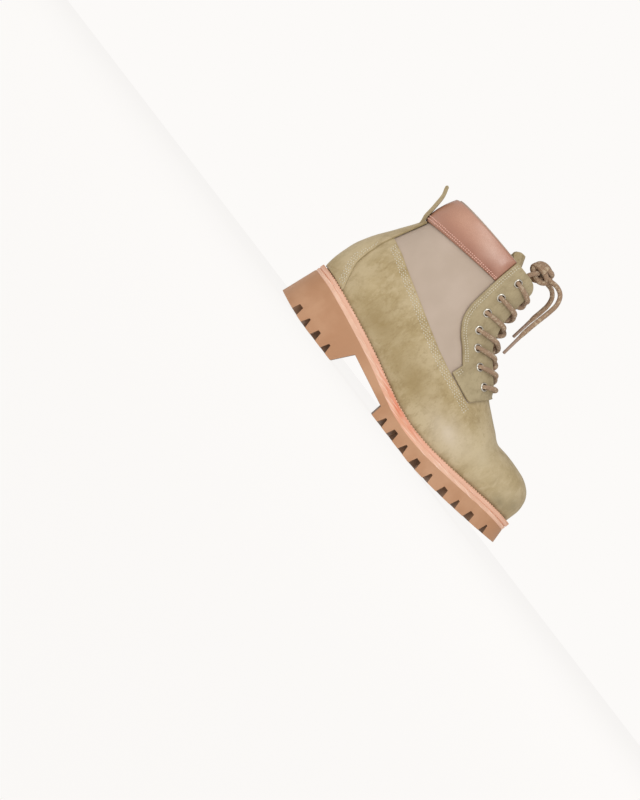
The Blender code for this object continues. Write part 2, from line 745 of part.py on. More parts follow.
def make_backstay():
    """Suede strip up the back, wide at the heel and narrow under the collar."""

    def shares(station):
        first = crossing(station, BACKSTAY_EDGE)
        return [first + (1 - first) * part for part in BACKSTAY_PARTS]

    grids = both_sides(on_skin, stations_from(BACKSTAY_FOOT, BACKSTAY_TOP), shares)
    return sheet("backstay", grids, suede, OVERLAY, 1.0)


def make_tongue():
    """Sheet under the throat that leans back and stands above the collar."""
    lift = -(WALL + TONGUE_CLEAR)
    knots = list(range(len(TONGUE_ROWS)))
    parts = [smooth(knots, [getattr(row, name) for row in TONGUE_ROWS]) for name in TongueRow._fields]
    count = TONGUE_SPLIT * knots[-1]
    rows = []
    for i in range(count + 1):
        station, back, up, half = [part(i / TONGUE_SPLIT) for part in parts]
        points = []
        for j in range(TONGUE_STEPS + 1):
            y = half * (2 * j / TONGUE_STEPS - 1)
            shift = Vector((-back, 0.0, up * (1 - TONGUE_CROWN * (y / half) ** 2)))
            points.append(over_throat(station, y, lift) + shift)
        rows.append(points)
    return sheet("tongue", [rows], suede, TONGUE, -1.0)


def make_pull_tab():
    """Doubled strip sewn in at the backstay's top, curling away from the collar."""
    knots = list(range(len(PULL_TAB)))
    run_x = smooth(knots, [row.x for row in PULL_TAB])
    run_z = smooth(knots, [row.z for row in PULL_TAB])
    rows = []
    for i in range(TAB_STEPS + 1):
        at = knots[-1] * i / TAB_STEPS
        rows.append([Vector((run_x(at), SHAFT_MID + TAB_HALF * side, run_z(at))) for side in (-1, 0, 1)])
    return sheet("pull_tab", [rows], suede, TAB_THICK, 0.0)


# Eyelets and lace

EYELET_PLACES = [locate(row.x, row.z) for row in EYELETS]
ON_EYESTAY = OVERLAY_CLEAR + OVERLAY
LACE_ON_EYESTAY = ON_EYESTAY + CLEAR + LACE


def make_eyelets():
    """Pressed rings on both eyestays, square to the surface."""
    bpy.ops.mesh.primitive_torus_add(
        major_radius=EYELET_RING * MM, minor_radius=EYELET_RIM * MM, major_segments=8, minor_segments=4)
    pattern = bpy.context.object
    mesh = pattern.data
    mesh.name = "eyelet"
    mesh.materials.append(steel)
    bpy.data.objects.remove(pattern)
    for side, label in ((-1, "lateral"), (1, "medial")):
        for number, (station, down) in enumerate(EYELET_PLACES, 1):
            lift = ON_EYESTAY + CLEAR + EYELET_RIM
            low = skin_lifted(station, down, side, lift)
            high = skin_lifted(station, down, side, lift + 1.0)
            ring = bpy.data.objects.new(f"eyelet_{label}_{number}", mesh)
            boot.objects.link(ring)
            ring.location = low * MM
            ring.rotation_mode = "QUATERNION"
            ring.rotation_quaternion = (high - low).to_track_quat("Z", "Y")


def tube_curve(name, points, radius, sides=2):
    """Curve object along points in millimetres, with filled caps."""
    data = bpy.data.curves.new(name, "CURVE")
    data.dimensions = "3D"
    data.bevel_depth = radius * MM
    data.bevel_resolution = sides
    data.use_fill_caps = True
    spline = data.splines.new("POLY")
    spline.points.add(len(points) - 1)
    for target, point in zip(spline.points, points):
        target.co = (*(Vector(point) * MM), 1.0)
    obj = bpy.data.objects.new(name, data)
    boot.objects.link(obj)
    return obj


def tube_mesh(name, points, radius, collection, sides=1):
    """The same tube as a closed mesh."""
    curve = tube_curve(name, points, radius, sides)
    bpy.context.view_layer.update()
    graph = bpy.context.evaluated_depsgraph_get()
    mesh = bpy.data.meshes.new_from_object(curve.evaluated_get(graph))
    bpy.data.objects.remove(curve)
    form = bmesh.new()
    form.from_mesh(mesh)
    bmesh.ops.remove_doubles(form, verts=form.verts, dist=1e-6)
    bmesh.ops.recalc_face_normals(form, faces=form.faces)
    bpy.data.meshes.remove(mesh)
    return add_object(name, mesh_from(name, form), lace_cord if collection is boot else None, collection)


def eyelet_y(number):
    """Distance of an eyelet from the middle line."""
    station, down = EYELET_PLACES[number]
    return half_at(section(station), down)


def strand(below, above, side, hump):
    """Lace from under one eyestay's edge, over the tongue, to the next eyelet on the other side."""
    low_station = EYELET_PLACES[below][0]
    rise = EYELET_PLACES[above][0] - low_station
    gap = section(low_station + 0.5 * rise).gap
    reach = eyelet_y(above)
    points = []
    for row in STRAND:
        y = row.gap * gap + row.reach * reach + row.inset
        lift = row.eyestay * LACE_ON_EYESTAY + row.lift + row.hump * hump
        points.append(over_throat(low_station + row.rise * rise, side * y, lift))
    return points


def make_lace_rows():
    """Bottom bar over the first pair of eyelets, then one crossing for each step up."""
    first = EYELET_PLACES[0][0]
    gap = section(first).gap
    reach = eyelet_y(0)
    half = []
    for row in BAR:
        lift = row.eyestay * LACE_ON_EYESTAY + row.lift
        half.append((row.gap * gap + row.reach * reach + row.inset, lift))
    route = [(-y, lift) for y, lift in half[:0:-1]] + half
    tube_mesh("lace_bar", [over_throat(first, y, lift) for y, lift in route], LACE, boot)
    for number in range(len(EYELETS) - 1):
        crossed = tube_mesh(f"lace_cross_{number + 1}", strand(number, number + 1, 1, 0.0), LACE, boot)
        other = tube_mesh(f"strand_{number + 1}", strand(number, number + 1, -1, STRAND_HUMP), LACE, cutters)
        cut(crossed, other, "UNION")


def smooth_route(rows, count):
    """Points along a smooth curve through a route; its y counts from the shaft's middle line."""
    knots = list(range(len(rows)))
    run_x, run_y, run_z = [smooth(knots, [getattr(row, axis) for row in rows]) for axis in ("x", "y", "z")]
    stops = [knots[-1] * i / (count - 1) for i in range(count)]
    return [(run_x(at), SHAFT_MID + run_y(at), run_z(at)) for at in stops]


def set_aside(obj, name):
    """Turn a fresh primitive into a cutter."""
    obj.name = name
    for owner in list(obj.users_collection):
        owner.objects.unlink(obj)
    cutters.objects.link(obj)
    obj.hide_render = True
    obj.display_type = "WIRE"
    return obj


def make_knot(stubs):
    """Overhand knot: a core, three turns of cord and the stubs that the other cords meet."""
    bpy.ops.mesh.primitive_uv_sphere_add(
        segments=10, ring_count=6, radius=KNOT_CORE * MM, location=Vector(KNOT) * MM)
    core = bpy.context.object
    core.data.materials.append(lace_cord)
    bpy.context.collection.objects.unlink(core)
    boot.objects.link(core)
    core.name = "lace_knot"
    for number, (tilt, turn) in enumerate(KNOT_TURNS):
        bpy.ops.mesh.primitive_torus_add(
            major_radius=KNOT_RING * MM, minor_radius=KNOT_CORD * MM, major_segments=10, minor_segments=6,
            location=Vector(KNOT) * MM, rotation=(tilt, 0.0, turn))
        cut(core, set_aside(bpy.context.object, f"knot_turn_{number}"), "UNION")
    for number, route in enumerate(stubs):
        cut(core, tube_mesh(f"knot_stub_{number}", route, LACE, cutters), "UNION")


def make_cords():
    """Risers from the top eyelets, the knot, and the two free ends with their tips."""
    centre = Vector(KNOT)
    stubs = []
    for side, label in ((-1, "lateral"), (1, "medial")):
        route = smooth_route([RouteRow(row.x, side * row.y, row.z) for row in RISER], 5)
        tube_curve(f"lace_riser_{label}", route, LACE).data.materials.append(lace_cord)
        heading = (Vector(route[-1]) - Vector(route[-2])).normalized()
        start = Vector(route[-1]) + heading * CLEAR
        stubs.append((start, start + heading * LACE, centre))
    for rows, label in ((LONG_END, "long"), (SHORT_END, "short")):
        route = smooth_route(rows, 2 * len(rows))
        tube_curve(f"lace_end_{label}", route, LACE).data.materials.append(lace_cord)
        heading = (Vector(route[1]) - Vector(route[0])).normalized()
        start = Vector(route[0]) - heading * CLEAR
        stubs.append((start, start - heading * KNOT_RING))
        heading = (Vector(route[-1]) - Vector(route[-2])).normalized()
        tip = [Vector(route[-1]) + heading * CLEAR, Vector(route[-1]) + heading * (CLEAR + AGLET)]
        tube_curve(f"aglet_{label}", tip, AGLET_RADIUS).data.materials.append(lace_tip)
    make_knot(stubs)


make_outsole()
make_sole_layers()
make_upper()
make_tongue()
make_collar()
make_eyestays()
make_backstay()
make_pull_tab()
make_eyelets()
make_lace_rows()
make_cords()
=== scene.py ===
"""Looks of a right lace-up boot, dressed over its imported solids.

Tables are in millimetres and meshes in metres. +X points to the toe, +Z up, and the outer
side of the boot faces -Y. The sections follow the boot as it is put together, sole first.
"""
import math
import random
from collections import namedtuple
from functools import lru_cache

import bmesh
import bpy
import numpy as np
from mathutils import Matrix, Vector


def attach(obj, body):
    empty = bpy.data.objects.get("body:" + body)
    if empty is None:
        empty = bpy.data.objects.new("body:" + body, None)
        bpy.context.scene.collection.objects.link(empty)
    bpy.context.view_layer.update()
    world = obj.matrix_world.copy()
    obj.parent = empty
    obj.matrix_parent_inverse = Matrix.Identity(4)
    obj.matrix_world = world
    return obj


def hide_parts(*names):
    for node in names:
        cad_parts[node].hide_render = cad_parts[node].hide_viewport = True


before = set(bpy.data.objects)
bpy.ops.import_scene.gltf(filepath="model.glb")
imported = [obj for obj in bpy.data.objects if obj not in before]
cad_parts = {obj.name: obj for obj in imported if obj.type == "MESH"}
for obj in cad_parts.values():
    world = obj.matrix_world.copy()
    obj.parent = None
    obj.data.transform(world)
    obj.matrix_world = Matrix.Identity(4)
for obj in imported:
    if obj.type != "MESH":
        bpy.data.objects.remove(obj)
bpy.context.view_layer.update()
bpy.ops.object.select_all(action="DESELECT")

# Outsole. One piece of caramel rubber, moulded with its heel, waist and forefoot, a smooth
# sidewall, wedge-shaped gaps between the lugs all round, and pockets down the middle of the
# tread. It is cemented under the midsole.
MM = 0.001
HALF_LENGTH = 152.5
EDGE_SCALE = 0.972


def table(kind, *rows):
    """Rows of a table, with the names of their columns."""
    return [kind(*row) for row in rows]


PlanRow = namedtuple("PlanRow", "x half mid")
SOLE_PLAN = table(PlanRow,
    (-152.5, 0.0, -1.0), (-145.0, 21.5, -1.0), (-135.0, 30.5, -1.2), (-120.0, 36.8, -1.6),
    (-100.0, 39.0, -2.2), (-75.0, 38.0, -3.4), (-45.0, 35.4, -5.0), (-20.0, 37.4, -5.2),
    (5.0, 44.2, -4.0), (30.0, 51.0, -1.6), (55.0, 54.0, 1.4), (75.0, 52.6, 4.2), (95.0, 47.8, 7.0),
    (112.0, 41.4, 9.0), (127.0, 34.0, 10.2), (139.0, 25.6, 10.8), (147.0, 16.6, 11.0),
    (152.5, 0.0, 11.0))
LineRow = namedtuple("LineRow", "x z")
WELT_LINE = table(LineRow,
    (-152.5, 48.4), (-130.0, 47.8), (-110.0, 45.5), (-80.0, 40.8), (-50.0, 35.2), (-20.0, 28.0),
    (0.0, 24.0), (22.0, 22.2), (42.0, 23.2), (62.0, 25.9), (82.0, 29.2), (102.0, 32.8), (122.0, 36.2),
    (140.0, 38.0), (152.5, 38.4))
WELT = 3.7
MIDSOLE = 3.7
CLEAR = 0.3

HEEL_FLAT_BACK = -112.0
HEEL_ROLL = 4.5
HEEL_ROLL_CURVE = 1.6
BREAST_FOOT = -74.0
BREAST_TOP = -64.0
WAIST_BACK_Z = 21.2
WAIST_FRONT_Z = 11.2
FOREFOOT_BACK = -12.0
SPRING_START = 42.0
TOE_SPRING = 17.0
TOE_SPRING_CURVE = 1.35
FOREFOOT_STEP = 0.4

NOTCH_DEPTH = 8.5
NOTCH_REACH = 0.5
NOTCH_RUN_OUT = 6.0
NotchRow = namedtuple("NotchRow", "x mouth crown")
NOTCHES = table(NotchRow,
    (-129.0, 5.7, 2.7), (-114.5, 5.2, 1.0), (-100.0, 5.4, 1.7), (-85.0, 5.2, 1.0), (-0.5, 5.2, 1.0),
    (14.0, 5.7, 2.7), (30.0, 5.2, 1.0), (47.0, 5.7, 2.7), (64.5, 5.2, 1.0), (83.0, 5.7, 2.7),
    (99.5, 5.2, 1.0), (116.5, 5.7, 2.7), (135.0, 5.2, 1.0))
POCKETS = (-121.5, -107.0, -92.5, 6.5, 22.0, 38.5, 56.0, 74.0, 92.0, 109.0)
POCKET_DEPTH = 5.0
POCKET_HALF = 4.6
POCKET_ACROSS = 0.32
POCKET_TAPER = 0.75
PLAN_SPOTS = 100
SOLE_SLICES = 150
SLICE_APART = 0.004
TREAD_SCALE = 0.955
TREAD_BELOW = 2.0
TREAD_FACING = -0.4
SOLE_FOOT_SCALE = 0.999
RUBBER_LIP = 1.2
RUBBER_LIP_SCALE = 0.003
SOLE_SHARP = 32
POINTS_MEET = 0.02
NO_LENGTH = 1e-7
RING_WELD = 0.001
CUT_WELD = 0.004


def smooth(knots, values):
    """Function that runs smoothly through the values, with no overshoot between them."""
    count = len(knots)
    steps = [knots[i + 1] - knots[i] for i in range(count - 1)]
    slopes = [(values[i + 1] - values[i]) / steps[i] for i in range(count - 1)]
    tangents = [slopes[0]]
    for i in range(1, count - 1):
        if slopes[i - 1] * slopes[i] <= 0:
            tangents.append(0.0)
        else:
            before = 2 * steps[i] + steps[i - 1]
            after = steps[i] + 2 * steps[i - 1]
            tangents.append((before + after) / (before / slopes[i - 1] + after / slopes[i]))
    tangents.append(slopes[-1])

    def value(at):
        at = min(max(at, knots[0]), knots[-1])
        i = 0
        while i < count - 2 and at > knots[i + 1]:
            i += 1
        t = (at - knots[i]) / steps[i]
        return (values[i] * (1 + 2 * t) * (1 - t) ** 2
                + values[i + 1] * t * t * (3 - 2 * t)
                + steps[i] * (tangents[i] * t * (1 - t) ** 2 - tangents[i + 1] * t * t * (1 - t)))

    return value


plan_mid_raw = smooth([row.x for row in SOLE_PLAN], [row.mid for row in SOLE_PLAN])
plan_square = smooth([row.x for row in SOLE_PLAN], [row.half ** 2 for row in SOLE_PLAN])
welt_top = smooth([row.x for row in WELT_LINE], [row.z for row in WELT_LINE])


def plan_half(x, along=1.0, across=1.0):
    """Half width of the ground outline, or of a copy of it scaled in plan."""
    return across * math.sqrt(max(plan_square(x / along), 0.0))


plan_places = [HALF_LENGTH * i / PLAN_SPOTS for i in range(-PLAN_SPOTS, PLAN_SPOTS + 1)]
PLAN_SHIFT = -0.5 * (max(plan_mid_raw(x) + plan_half(x) for x in plan_places)
                     + min(plan_mid_raw(x) - plan_half(x) for x in plan_places))


def plan_mid(x):
    """Middle line of the sole, swung inwards at the toe."""
    return plan_mid_raw(x) + PLAN_SHIFT


def tread_z(x):
    """Side view of the tread: rolled heel, breast, waist, flat forefoot and toe spring."""
    if x < HEEL_FLAT_BACK:
        return HEEL_ROLL * ((HEEL_FLAT_BACK - x) / (HEEL_FLAT_BACK + HALF_LENGTH)) ** HEEL_ROLL_CURVE
    if x <= BREAST_FOOT:
        return 0.0
    if x <= BREAST_TOP:
        return WAIST_BACK_Z * (x - BREAST_FOOT) / (BREAST_TOP - BREAST_FOOT)
    if x < FOREFOOT_BACK:
        share = (x - BREAST_TOP) / (FOREFOOT_BACK - BREAST_TOP)
        return WAIST_BACK_Z + share * (WAIST_FRONT_Z - WAIST_BACK_Z)
    if x <= SPRING_START:
        return 0.0
    return TOE_SPRING * ((x - SPRING_START) / (HALF_LENGTH - SPRING_START)) ** TOE_SPRING_CURVE


def rubber_top(x):
    """Top of the rubber, under the midsole."""
    return welt_top(x) - WELT - MIDSOLE - 2 * CLEAR


def place_mesh(name, form, materials=(), sharp=40):
    """Object from a bmesh in metres, smooth where it turns by less than an angle."""
    mesh = bpy.data.meshes.new(name)
    form.to_mesh(mesh)
    form.free()
    mesh.shade_smooth()
    mesh.set_sharp_from_angle(angle=math.radians(sharp))
    for material in materials:
        mesh.materials.append(material)
    piece = bpy.data.objects.new(name, mesh)
    bpy.context.scene.collection.objects.link(piece)
    return piece


def weld(form, reach=POINTS_MEET):
    """Join points that meet, and drop faces with no area."""
    bmesh.ops.remove_doubles(form, verts=form.verts, dist=reach * MM)
    bmesh.ops.dissolve_degenerate(form, dist=NO_LENGTH, edges=form.edges)


def sole_layer(name, materials, rings, breaks=()):
    """Closed layer of the sole: slices along the boot, each through rings of scale and height."""
    places = [-math.cos(math.pi * i / SOLE_SLICES) for i in range(SOLE_SLICES + 1)]
    marks = [mark / HALF_LENGTH for mark in breaks]
    kept = [place for place in places if all(abs(place - mark) > SLICE_APART for mark in marks)]
    form = bmesh.new()
    slices = []
    for place in sorted(kept + marks):
        corners = []
        for side, order in ((-1, rings), (1, rings[::-1])):
            for scale, height in order:
                x = place * HALF_LENGTH * scale
                y = plan_mid(x) + side * plan_half(x, scale, scale)
                corners.append(form.verts.new(Vector((x, y, height(x))) * MM))
        slices.append(corners)
    width = len(slices[0])
    for first, second in zip(slices, slices[1:]):
        for i in range(width):
            j = (i + 1) % width
            form.faces.new((first[i], first[j], second[j], second[i]))
    weld(form, RING_WELD)
    bmesh.ops.recalc_face_normals(form, faces=form.faces)
    return place_mesh(name, form, materials)


def apply_modifiers(piece):
    """Make a piece's modifiers part of its mesh."""
    bpy.ops.object.select_all(action="DESELECT")
    piece.select_set(True)
    bpy.context.view_layer.objects.active = piece
    for step in list(piece.modifiers):
        bpy.ops.object.modifier_apply(modifier=step.name)
    piece.select_set(False)


def soften(piece, width, segments, turn):
    """Round off the edges of a piece that turn by more than an angle."""
    soft = piece.modifiers.new("soft_edges", "BEVEL")
    soft.width = width * MM
    soft.segments = segments
    soft.angle_limit = math.radians(turn)
    apply_modifiers(piece)


def cut_away(piece, form):
    """Cut closed shapes out of a piece, and close the fine slivers along the cut."""
    bmesh.ops.recalc_face_normals(form, faces=form.faces)
    cutter = place_mesh("cutter", form)
    step = piece.modifiers.new("cut", "BOOLEAN")
    step.operation = "DIFFERENCE"
    step.object = cutter
    step.solver = "EXACT"
    apply_modifiers(piece)
    bpy.data.objects.remove(cutter)
    left = bmesh.new()
    left.from_mesh(piece.data)
    weld(left, CUT_WELD)
    idle = [vertex for vertex in left.verts if len(vertex.link_edges) == 2]
    bmesh.ops.dissolve_verts(left, verts=idle)
    left.to_mesh(piece.data)
    left.free()


class Field:
    """A socket of a material's nodes, with arithmetic that adds Math nodes."""

    def __init__(self, tree, socket):
        self.tree = tree
        self.socket = socket

    def node(self, kind, settings, sockets, output=0):
        """Another node of the material: its settings first, then values or links for its sockets."""
        made = self.tree.nodes.new(kind)
        for name, value in settings.items():
            setattr(made, name, value)
        for name, value in sockets.items():
            if isinstance(value, Field):
                self.tree.links.new(value.socket, made.inputs[name])
            else:
                made.inputs[name].default_value = value
        return Field(self.tree, made.outputs[output])

    def maths(self, operation, first, second=0.0):
        """A Math node on two values or fields."""
        return self.node("ShaderNodeMath", {"operation": operation}, {0: first, 1: second})

    def __add__(self, other):
        return self.maths("ADD", self, other)

    def __radd__(self, other):
        return self.maths("ADD", other, self)

    def __sub__(self, other):
        return self.maths("SUBTRACT", self, other)

    def __rsub__(self, other):
        return self.maths("SUBTRACT", other, self)

    def __mul__(self, other):
        return self.maths("MULTIPLY", self, other)

    def __rmul__(self, other):
        return self.maths("MULTIPLY", other, self)


def tint(red, green, blue):
    """Colour from the 0 to 255 values of a colour chart."""
    parts = [part / 255 for part in (red, green, blue)]
    return (*(p / 12.92 if p <= 0.04045 else ((p + 0.055) / 1.055) ** 2.4 for p in parts), 1.0)


def new_finish(name, sockets):
    """Material with constant sockets set, its shader, and the place on the boot in metres."""
    material = bpy.data.materials.new(name)
    material.use_nodes = True
    tree = material.node_tree
    shader = tree.nodes["Principled BSDF"]
    for socket, value in sockets.items():
        shader.inputs[socket].default_value = value
    return material, shader, Field(tree, tree.nodes.new("ShaderNodeTexCoord").outputs["Object"])


def noise(place, scale, detail=2.0, roughness=0.5, distortion=0.0):
    """Cloudy value from 0 to 1; the scale counts its lumps in a metre."""
    return place.node("ShaderNodeTexNoise", {}, {
        "Vector": place, "Scale": scale, "Detail": detail, "Roughness": roughness,
        "Distortion": distortion})


def between(value, low, high):
    """0 below one value, 1 above another, and smooth between them."""
    return value.node("ShaderNodeMapRange", {"interpolation_type": "SMOOTHSTEP"}, {
        "Value": value, "From Min": low, "From Max": high})


def mixed(share, first, second):
    """Two colours, mixed by a share."""
    return share.node("ShaderNodeMix", {"data_type": "RGBA"}, {0: share, 6: first, 7: second}, 2)


def patch(place, centre, size):
    """1 at a place on the boot and 0 at the edge of an oval round it, in millimetres."""
    moved = place.node("ShaderNodeMapping", {"vector_type": "TEXTURE"}, {
        "Vector": place, "Location": tuple(part * MM for part in centre),
        "Scale": tuple(part * MM for part in size)})
    return moved.node("ShaderNodeTexGradient", {"gradient_type": "QUADRATIC_SPHERE"}, {
        "Vector": moved}, "Fac")


def dress(shader, colour, roughness, height, depth):
    """Give a shader its colour and roughness, and relief of a depth in millimetres."""
    bump = height.node("ShaderNodeBump", {}, {
        "Strength": 1.0, "Distance": depth * MM, "Height": height})
    for field, socket in ((colour, "Base Color"), (roughness, "Roughness"), (bump, "Normal")):
        field.tree.links.new(field.socket, shader.inputs[socket])


def rubber_finish(name, base, wear_and_shading, gloss):
    """Moulded rubber: faint mottling, fine skin and a satin gloss."""
    material, shader, place = new_finish(name, {"Specular IOR Level": 0.4})
    cloud = noise(place, 38.0, 3.0)
    skin = noise(place, 900.0, 3.0)
    colour = mixed(between(cloud, 0.35, 0.7), tint(*base), tint(*wear_and_shading))
    dress(shader, colour, gloss + 0.16 * cloud, skin, 0.05)
    return material


sidewall_rubber = rubber_finish("caramel_sidewall", (181, 134, 99), (192, 147, 113), 0.42)
tread_rubber = rubber_finish("brown_tread", (108, 80, 58), (140, 105, 78), 0.5)


def make_outsole():
    """The moulded rubber, with its lugs cut and its edges softened."""
    breaks = (HEEL_FLAT_BACK, BREAST_FOOT, BREAST_TOP, FOREFOOT_BACK - FOREFOOT_STEP,
              FOREFOOT_BACK + FOREFOOT_STEP, SPRING_START)
    outsole = sole_layer("boot_outsole", (sidewall_rubber, tread_rubber), (
        (SOLE_FOOT_SCALE, tread_z),
        (EDGE_SCALE + RUBBER_LIP_SCALE, lambda x: rubber_top(x) - RUBBER_LIP),
        (EDGE_SCALE, rubber_top),
    ), breaks)
    for side in (-1, 1):
        form = bmesh.new()
        for row in NOTCHES:
            edge = Vector((row.x, plan_mid(row.x) + side * plan_half(row.x), 0.0))
            ahead = Vector((row.x + 1, plan_mid(row.x + 1) + side * plan_half(row.x + 1), 0.0))
            along = (ahead - edge).normalized()
            inwards = Vector((-along.y, along.x, 0.0)) * -side
            for vert in bmesh.ops.create_cube(form, size=1.0)["verts"]:
                crown = vert.co.z > 0
                spread = math.copysign(row.crown if crown else row.mouth, vert.co.x)
                reach = NOTCH_REACH * plan_half(row.x) if vert.co.y > 0 else -NOTCH_RUN_OUT
                corner = edge + along * spread + inwards * reach
                corner.z = tread_z(row.x) + (NOTCH_DEPTH if crown else -NOTCH_RUN_OUT)
                vert.co = corner * MM
        cut_away(outsole, form)
    form = bmesh.new()
    for x in POCKETS:
        for vert in bmesh.ops.create_cube(form, size=1.0)["verts"]:
            floor = vert.co.z > 0
            share = POCKET_TAPER if floor else 1.0
            vert.co = Vector((
                x + math.copysign(POCKET_HALF * share, vert.co.x),
                plan_mid(x) + math.copysign(POCKET_ACROSS * plan_half(x) * share, vert.co.y),
                tread_z(x) + (POCKET_DEPTH if floor else -POCKET_DEPTH))) * MM
    cut_away(outsole, form)
    soften(outsole, width=0.5, segments=2, turn=38)
    # Faces that face down take the darker tread rubber. So do the walls of the notches and pockets, where
    # that darker colour is painted shade in the recesses.
    for face in outsole.data.polygons:
        x = face.center.x / MM
        inside = abs(face.center.y / MM - plan_mid(x)) < plan_half(x, TREAD_SCALE, TREAD_SCALE)
        hidden = inside and face.center.z / MM < rubber_top(x) - TREAD_BELOW
        face.material_index = 1 if face.normal.z < TREAD_FACING or hidden else 0
    outsole.data.shade_smooth()
    outsole.data.set_sharp_from_angle(angle=math.radians(SOLE_SHARP))
    return outsole


outsole = make_outsole()
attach(outsole, "root")
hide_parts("outsole")

# Midsole. A strip of pale pink foam rubber between the outsole and the welt, trimmed flush
# with the welt's edge. A fine line is scored along the middle of its edge.
RingRow = namedtuple("RingRow", "wider below")
MIDSOLE_RINGS = table(RingRow,
    (-0.003, 4.0), (0.0, 3.3), (0.0005, 2.146), (-0.001, 1.85), (0.0005, 1.554), (0.0, 0.55),
    (-0.006, 0.05), (-0.009, -0.3))
STREAK_STRETCH = (0.05, 0.05, 1.0)


def sheen_streaks(place, scale):
    """Fine lengthwise streaks along the sole's edge: a faint relief, and where they are paler, painted
    highlights.
    """
    drawn = place.node("ShaderNodeMapping", {}, {"Vector": place, "Scale": STREAK_STRETCH})
    return noise(drawn, scale)


midsole_foam, shader, place = new_finish("pale_pink_midsole", {"Specular IOR Level": 0.35})
cloud = noise(place, 60.0, 3.0)
grain = noise(place, 1400.0, 2.0)
redder = patch(place, (4.0, -46.0, 20.0), (80.0, 150.0, 90.0))
fresh = mixed(between(cloud, 0.3, 0.75), tint(232, 190, 164), tint(222, 176, 149))
sheen_streak = sheen_streaks(place, 900.0)
colour = mixed(redder * 0.75, fresh, tint(224, 148, 112))
# Paler lengthwise streaks on the edge: painted highlights.
colour = mixed(between(sheen_streak, 0.50, 0.66) * 0.6, colour, tint(246, 214, 196))
dress(shader, colour, 0.50 + 0.15 * cloud, 0.7 * grain + 0.3 * sheen_streak, 0.08)


def midsole_top(x):
    """Top of the midsole, under the welt."""
    return welt_top(x) - WELT - CLEAR


def edge_rings(top, rows):
    """Rings of a sole layer: scales beside the edge's, and heights below the layer's top."""
    return [(EDGE_SCALE + row.wider, lambda x, below=row.below: top(x) - below) for row in rows]


midsole = sole_layer("boot_midsole", (midsole_foam,), edge_rings(midsole_top, MIDSOLE_RINGS))
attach(midsole, "root")
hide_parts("midsole")

# Welt. A coral leather strip round the boot, sewn through to the insole and stitched down on
# its top edge, where each stitch stands a little proud. It is redder in the waist.
WELT_RINGS = table(RingRow,
    (-0.232, 3.7), (-0.006, 3.7), (0.0, 3.2), (0.0, 0.8), (-0.004, 0.1), (-0.012, 0.0), (-0.232, 0.0))
WELT_STITCH_PITCH = 3.0
WELT_STITCH = 3.3
WELT_STITCH_RADIUS = 0.8
WELT_STITCH_INSET = 1.0
WELT_SPOTS = 900
STITCH_SHAPE = ((-0.5, 0.25, -0.9), (-0.36, 0.8, -0.15), (-0.15, 1.0, 0.25),
                (0.15, 1.0, 0.25), (0.36, 0.8, -0.15), (0.5, 0.25, -0.9))
STITCH_SIDES = 6
STITCH_SWAY = 0.26
STITCH_DRIFT = 0.2
STITCH_UNEVEN = (0.82, 1.1)
STITCH_LOOK = 0.4
STITCH_SHARP = 70

welt_leather, shader, place = new_finish("coral_welt", {"Specular IOR Level": 0.35})
cloud = noise(place, 55.0, 3.0)
grain = noise(place, 1100.0, 3.0)
redder = patch(place, (-2.0, -44.0, 24.0), (92.0, 150.0, 90.0))
fresh = mixed(redder, tint(227, 178, 152), tint(222, 130, 97))
sheen_streak = sheen_streaks(place, 800.0)
colour = mixed(between(cloud, 0.45, 0.85), fresh, tint(231, 188, 163))
# Paler lengthwise streaks on the edge: painted highlights.
colour = mixed(between(sheen_streak, 0.52, 0.68) * 0.5, colour, tint(244, 206, 186))
dress(shader, colour, 0.55 + 0.2 * cloud, 0.7 * grain + 0.3 * sheen_streak, 0.1)


def thread_finish(name, base, shade):
    """Twisted thread: two close tones and a fine fuzz."""
    material, shader, place = new_finish(name, {"Specular IOR Level": 0.25})
    fuzz = noise(place, 2600.0, 2.0)
    colour = mixed(between(fuzz, 0.35, 0.65), tint(*base), tint(*shade))
    dress(shader, colour, 0.7 + 0.1 * fuzz, fuzz, 0.06)
    return material


def unit(vector):
    """A vector of numbers, brought to a length of one."""
    return vector / max(np.linalg.norm(vector), NO_LENGTH)


def stitch_row(name, rows, pitch, length, radius, material, zigzag=0.0):
    """Short sunk stitches along rows of (points, outward normals), in millimetres."""
    uneven = random.Random(name)
    turns = [math.tau * k / STITCH_SIDES for k in range(STITCH_SIDES)]
    form = bmesh.new()
    for points, normals in rows:
        runs = np.linalg.norm(np.diff(points, axis=0), axis=1)
        along = np.concatenate(([0.0], np.cumsum(runs)))
        count = max(int(along[-1] / pitch), 1)
        for number in range(count):
            at = (number + 0.5) * along[-1] / count
            spot, ahead, behind, up = [
                np.array([np.interp(place, along, values[:, k]) for k in range(3)])
                for place, values in ((at, points), (at + STITCH_LOOK, points),
                                      (at - STITCH_LOOK, points), (at, normals))]
            run = unit(ahead - behind)
            up = unit(up - run * np.dot(up, run))
            out = np.cross(run, up)
            sway = uneven.uniform(-STITCH_SWAY, STITCH_SWAY)
            run = run + out * sway
            out = out - run * sway
            drift = uneven.uniform(-STITCH_DRIFT, STITCH_DRIFT)
            spot = spot + out * (drift + zigzag * (number % 2 - 0.5))
            long = length * uneven.uniform(*STITCH_UNEVEN)
            rings = []
            for step, fat, rise in STITCH_SHAPE:
                centre = spot + run * step * long + up * rise * radius
                ring = [centre + radius * fat * (math.cos(turn) * out + math.sin(turn) * up)
                        for turn in turns]
                rings.append([form.verts.new(Vector(point) * MM) for point in ring])
            for first, second in zip(rings, rings[1:]):
                for k in range(STITCH_SIDES):
                    j = (k + 1) % STITCH_SIDES
                    form.faces.new((first[k], second[k], second[j], first[j]))
            form.faces.new(rings[0])
            form.faces.new(rings[-1][::-1])
    bmesh.ops.recalc_face_normals(form, faces=form.faces)
    stitches = place_mesh(name, form, (material,), STITCH_SHARP)
    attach(stitches, "root")


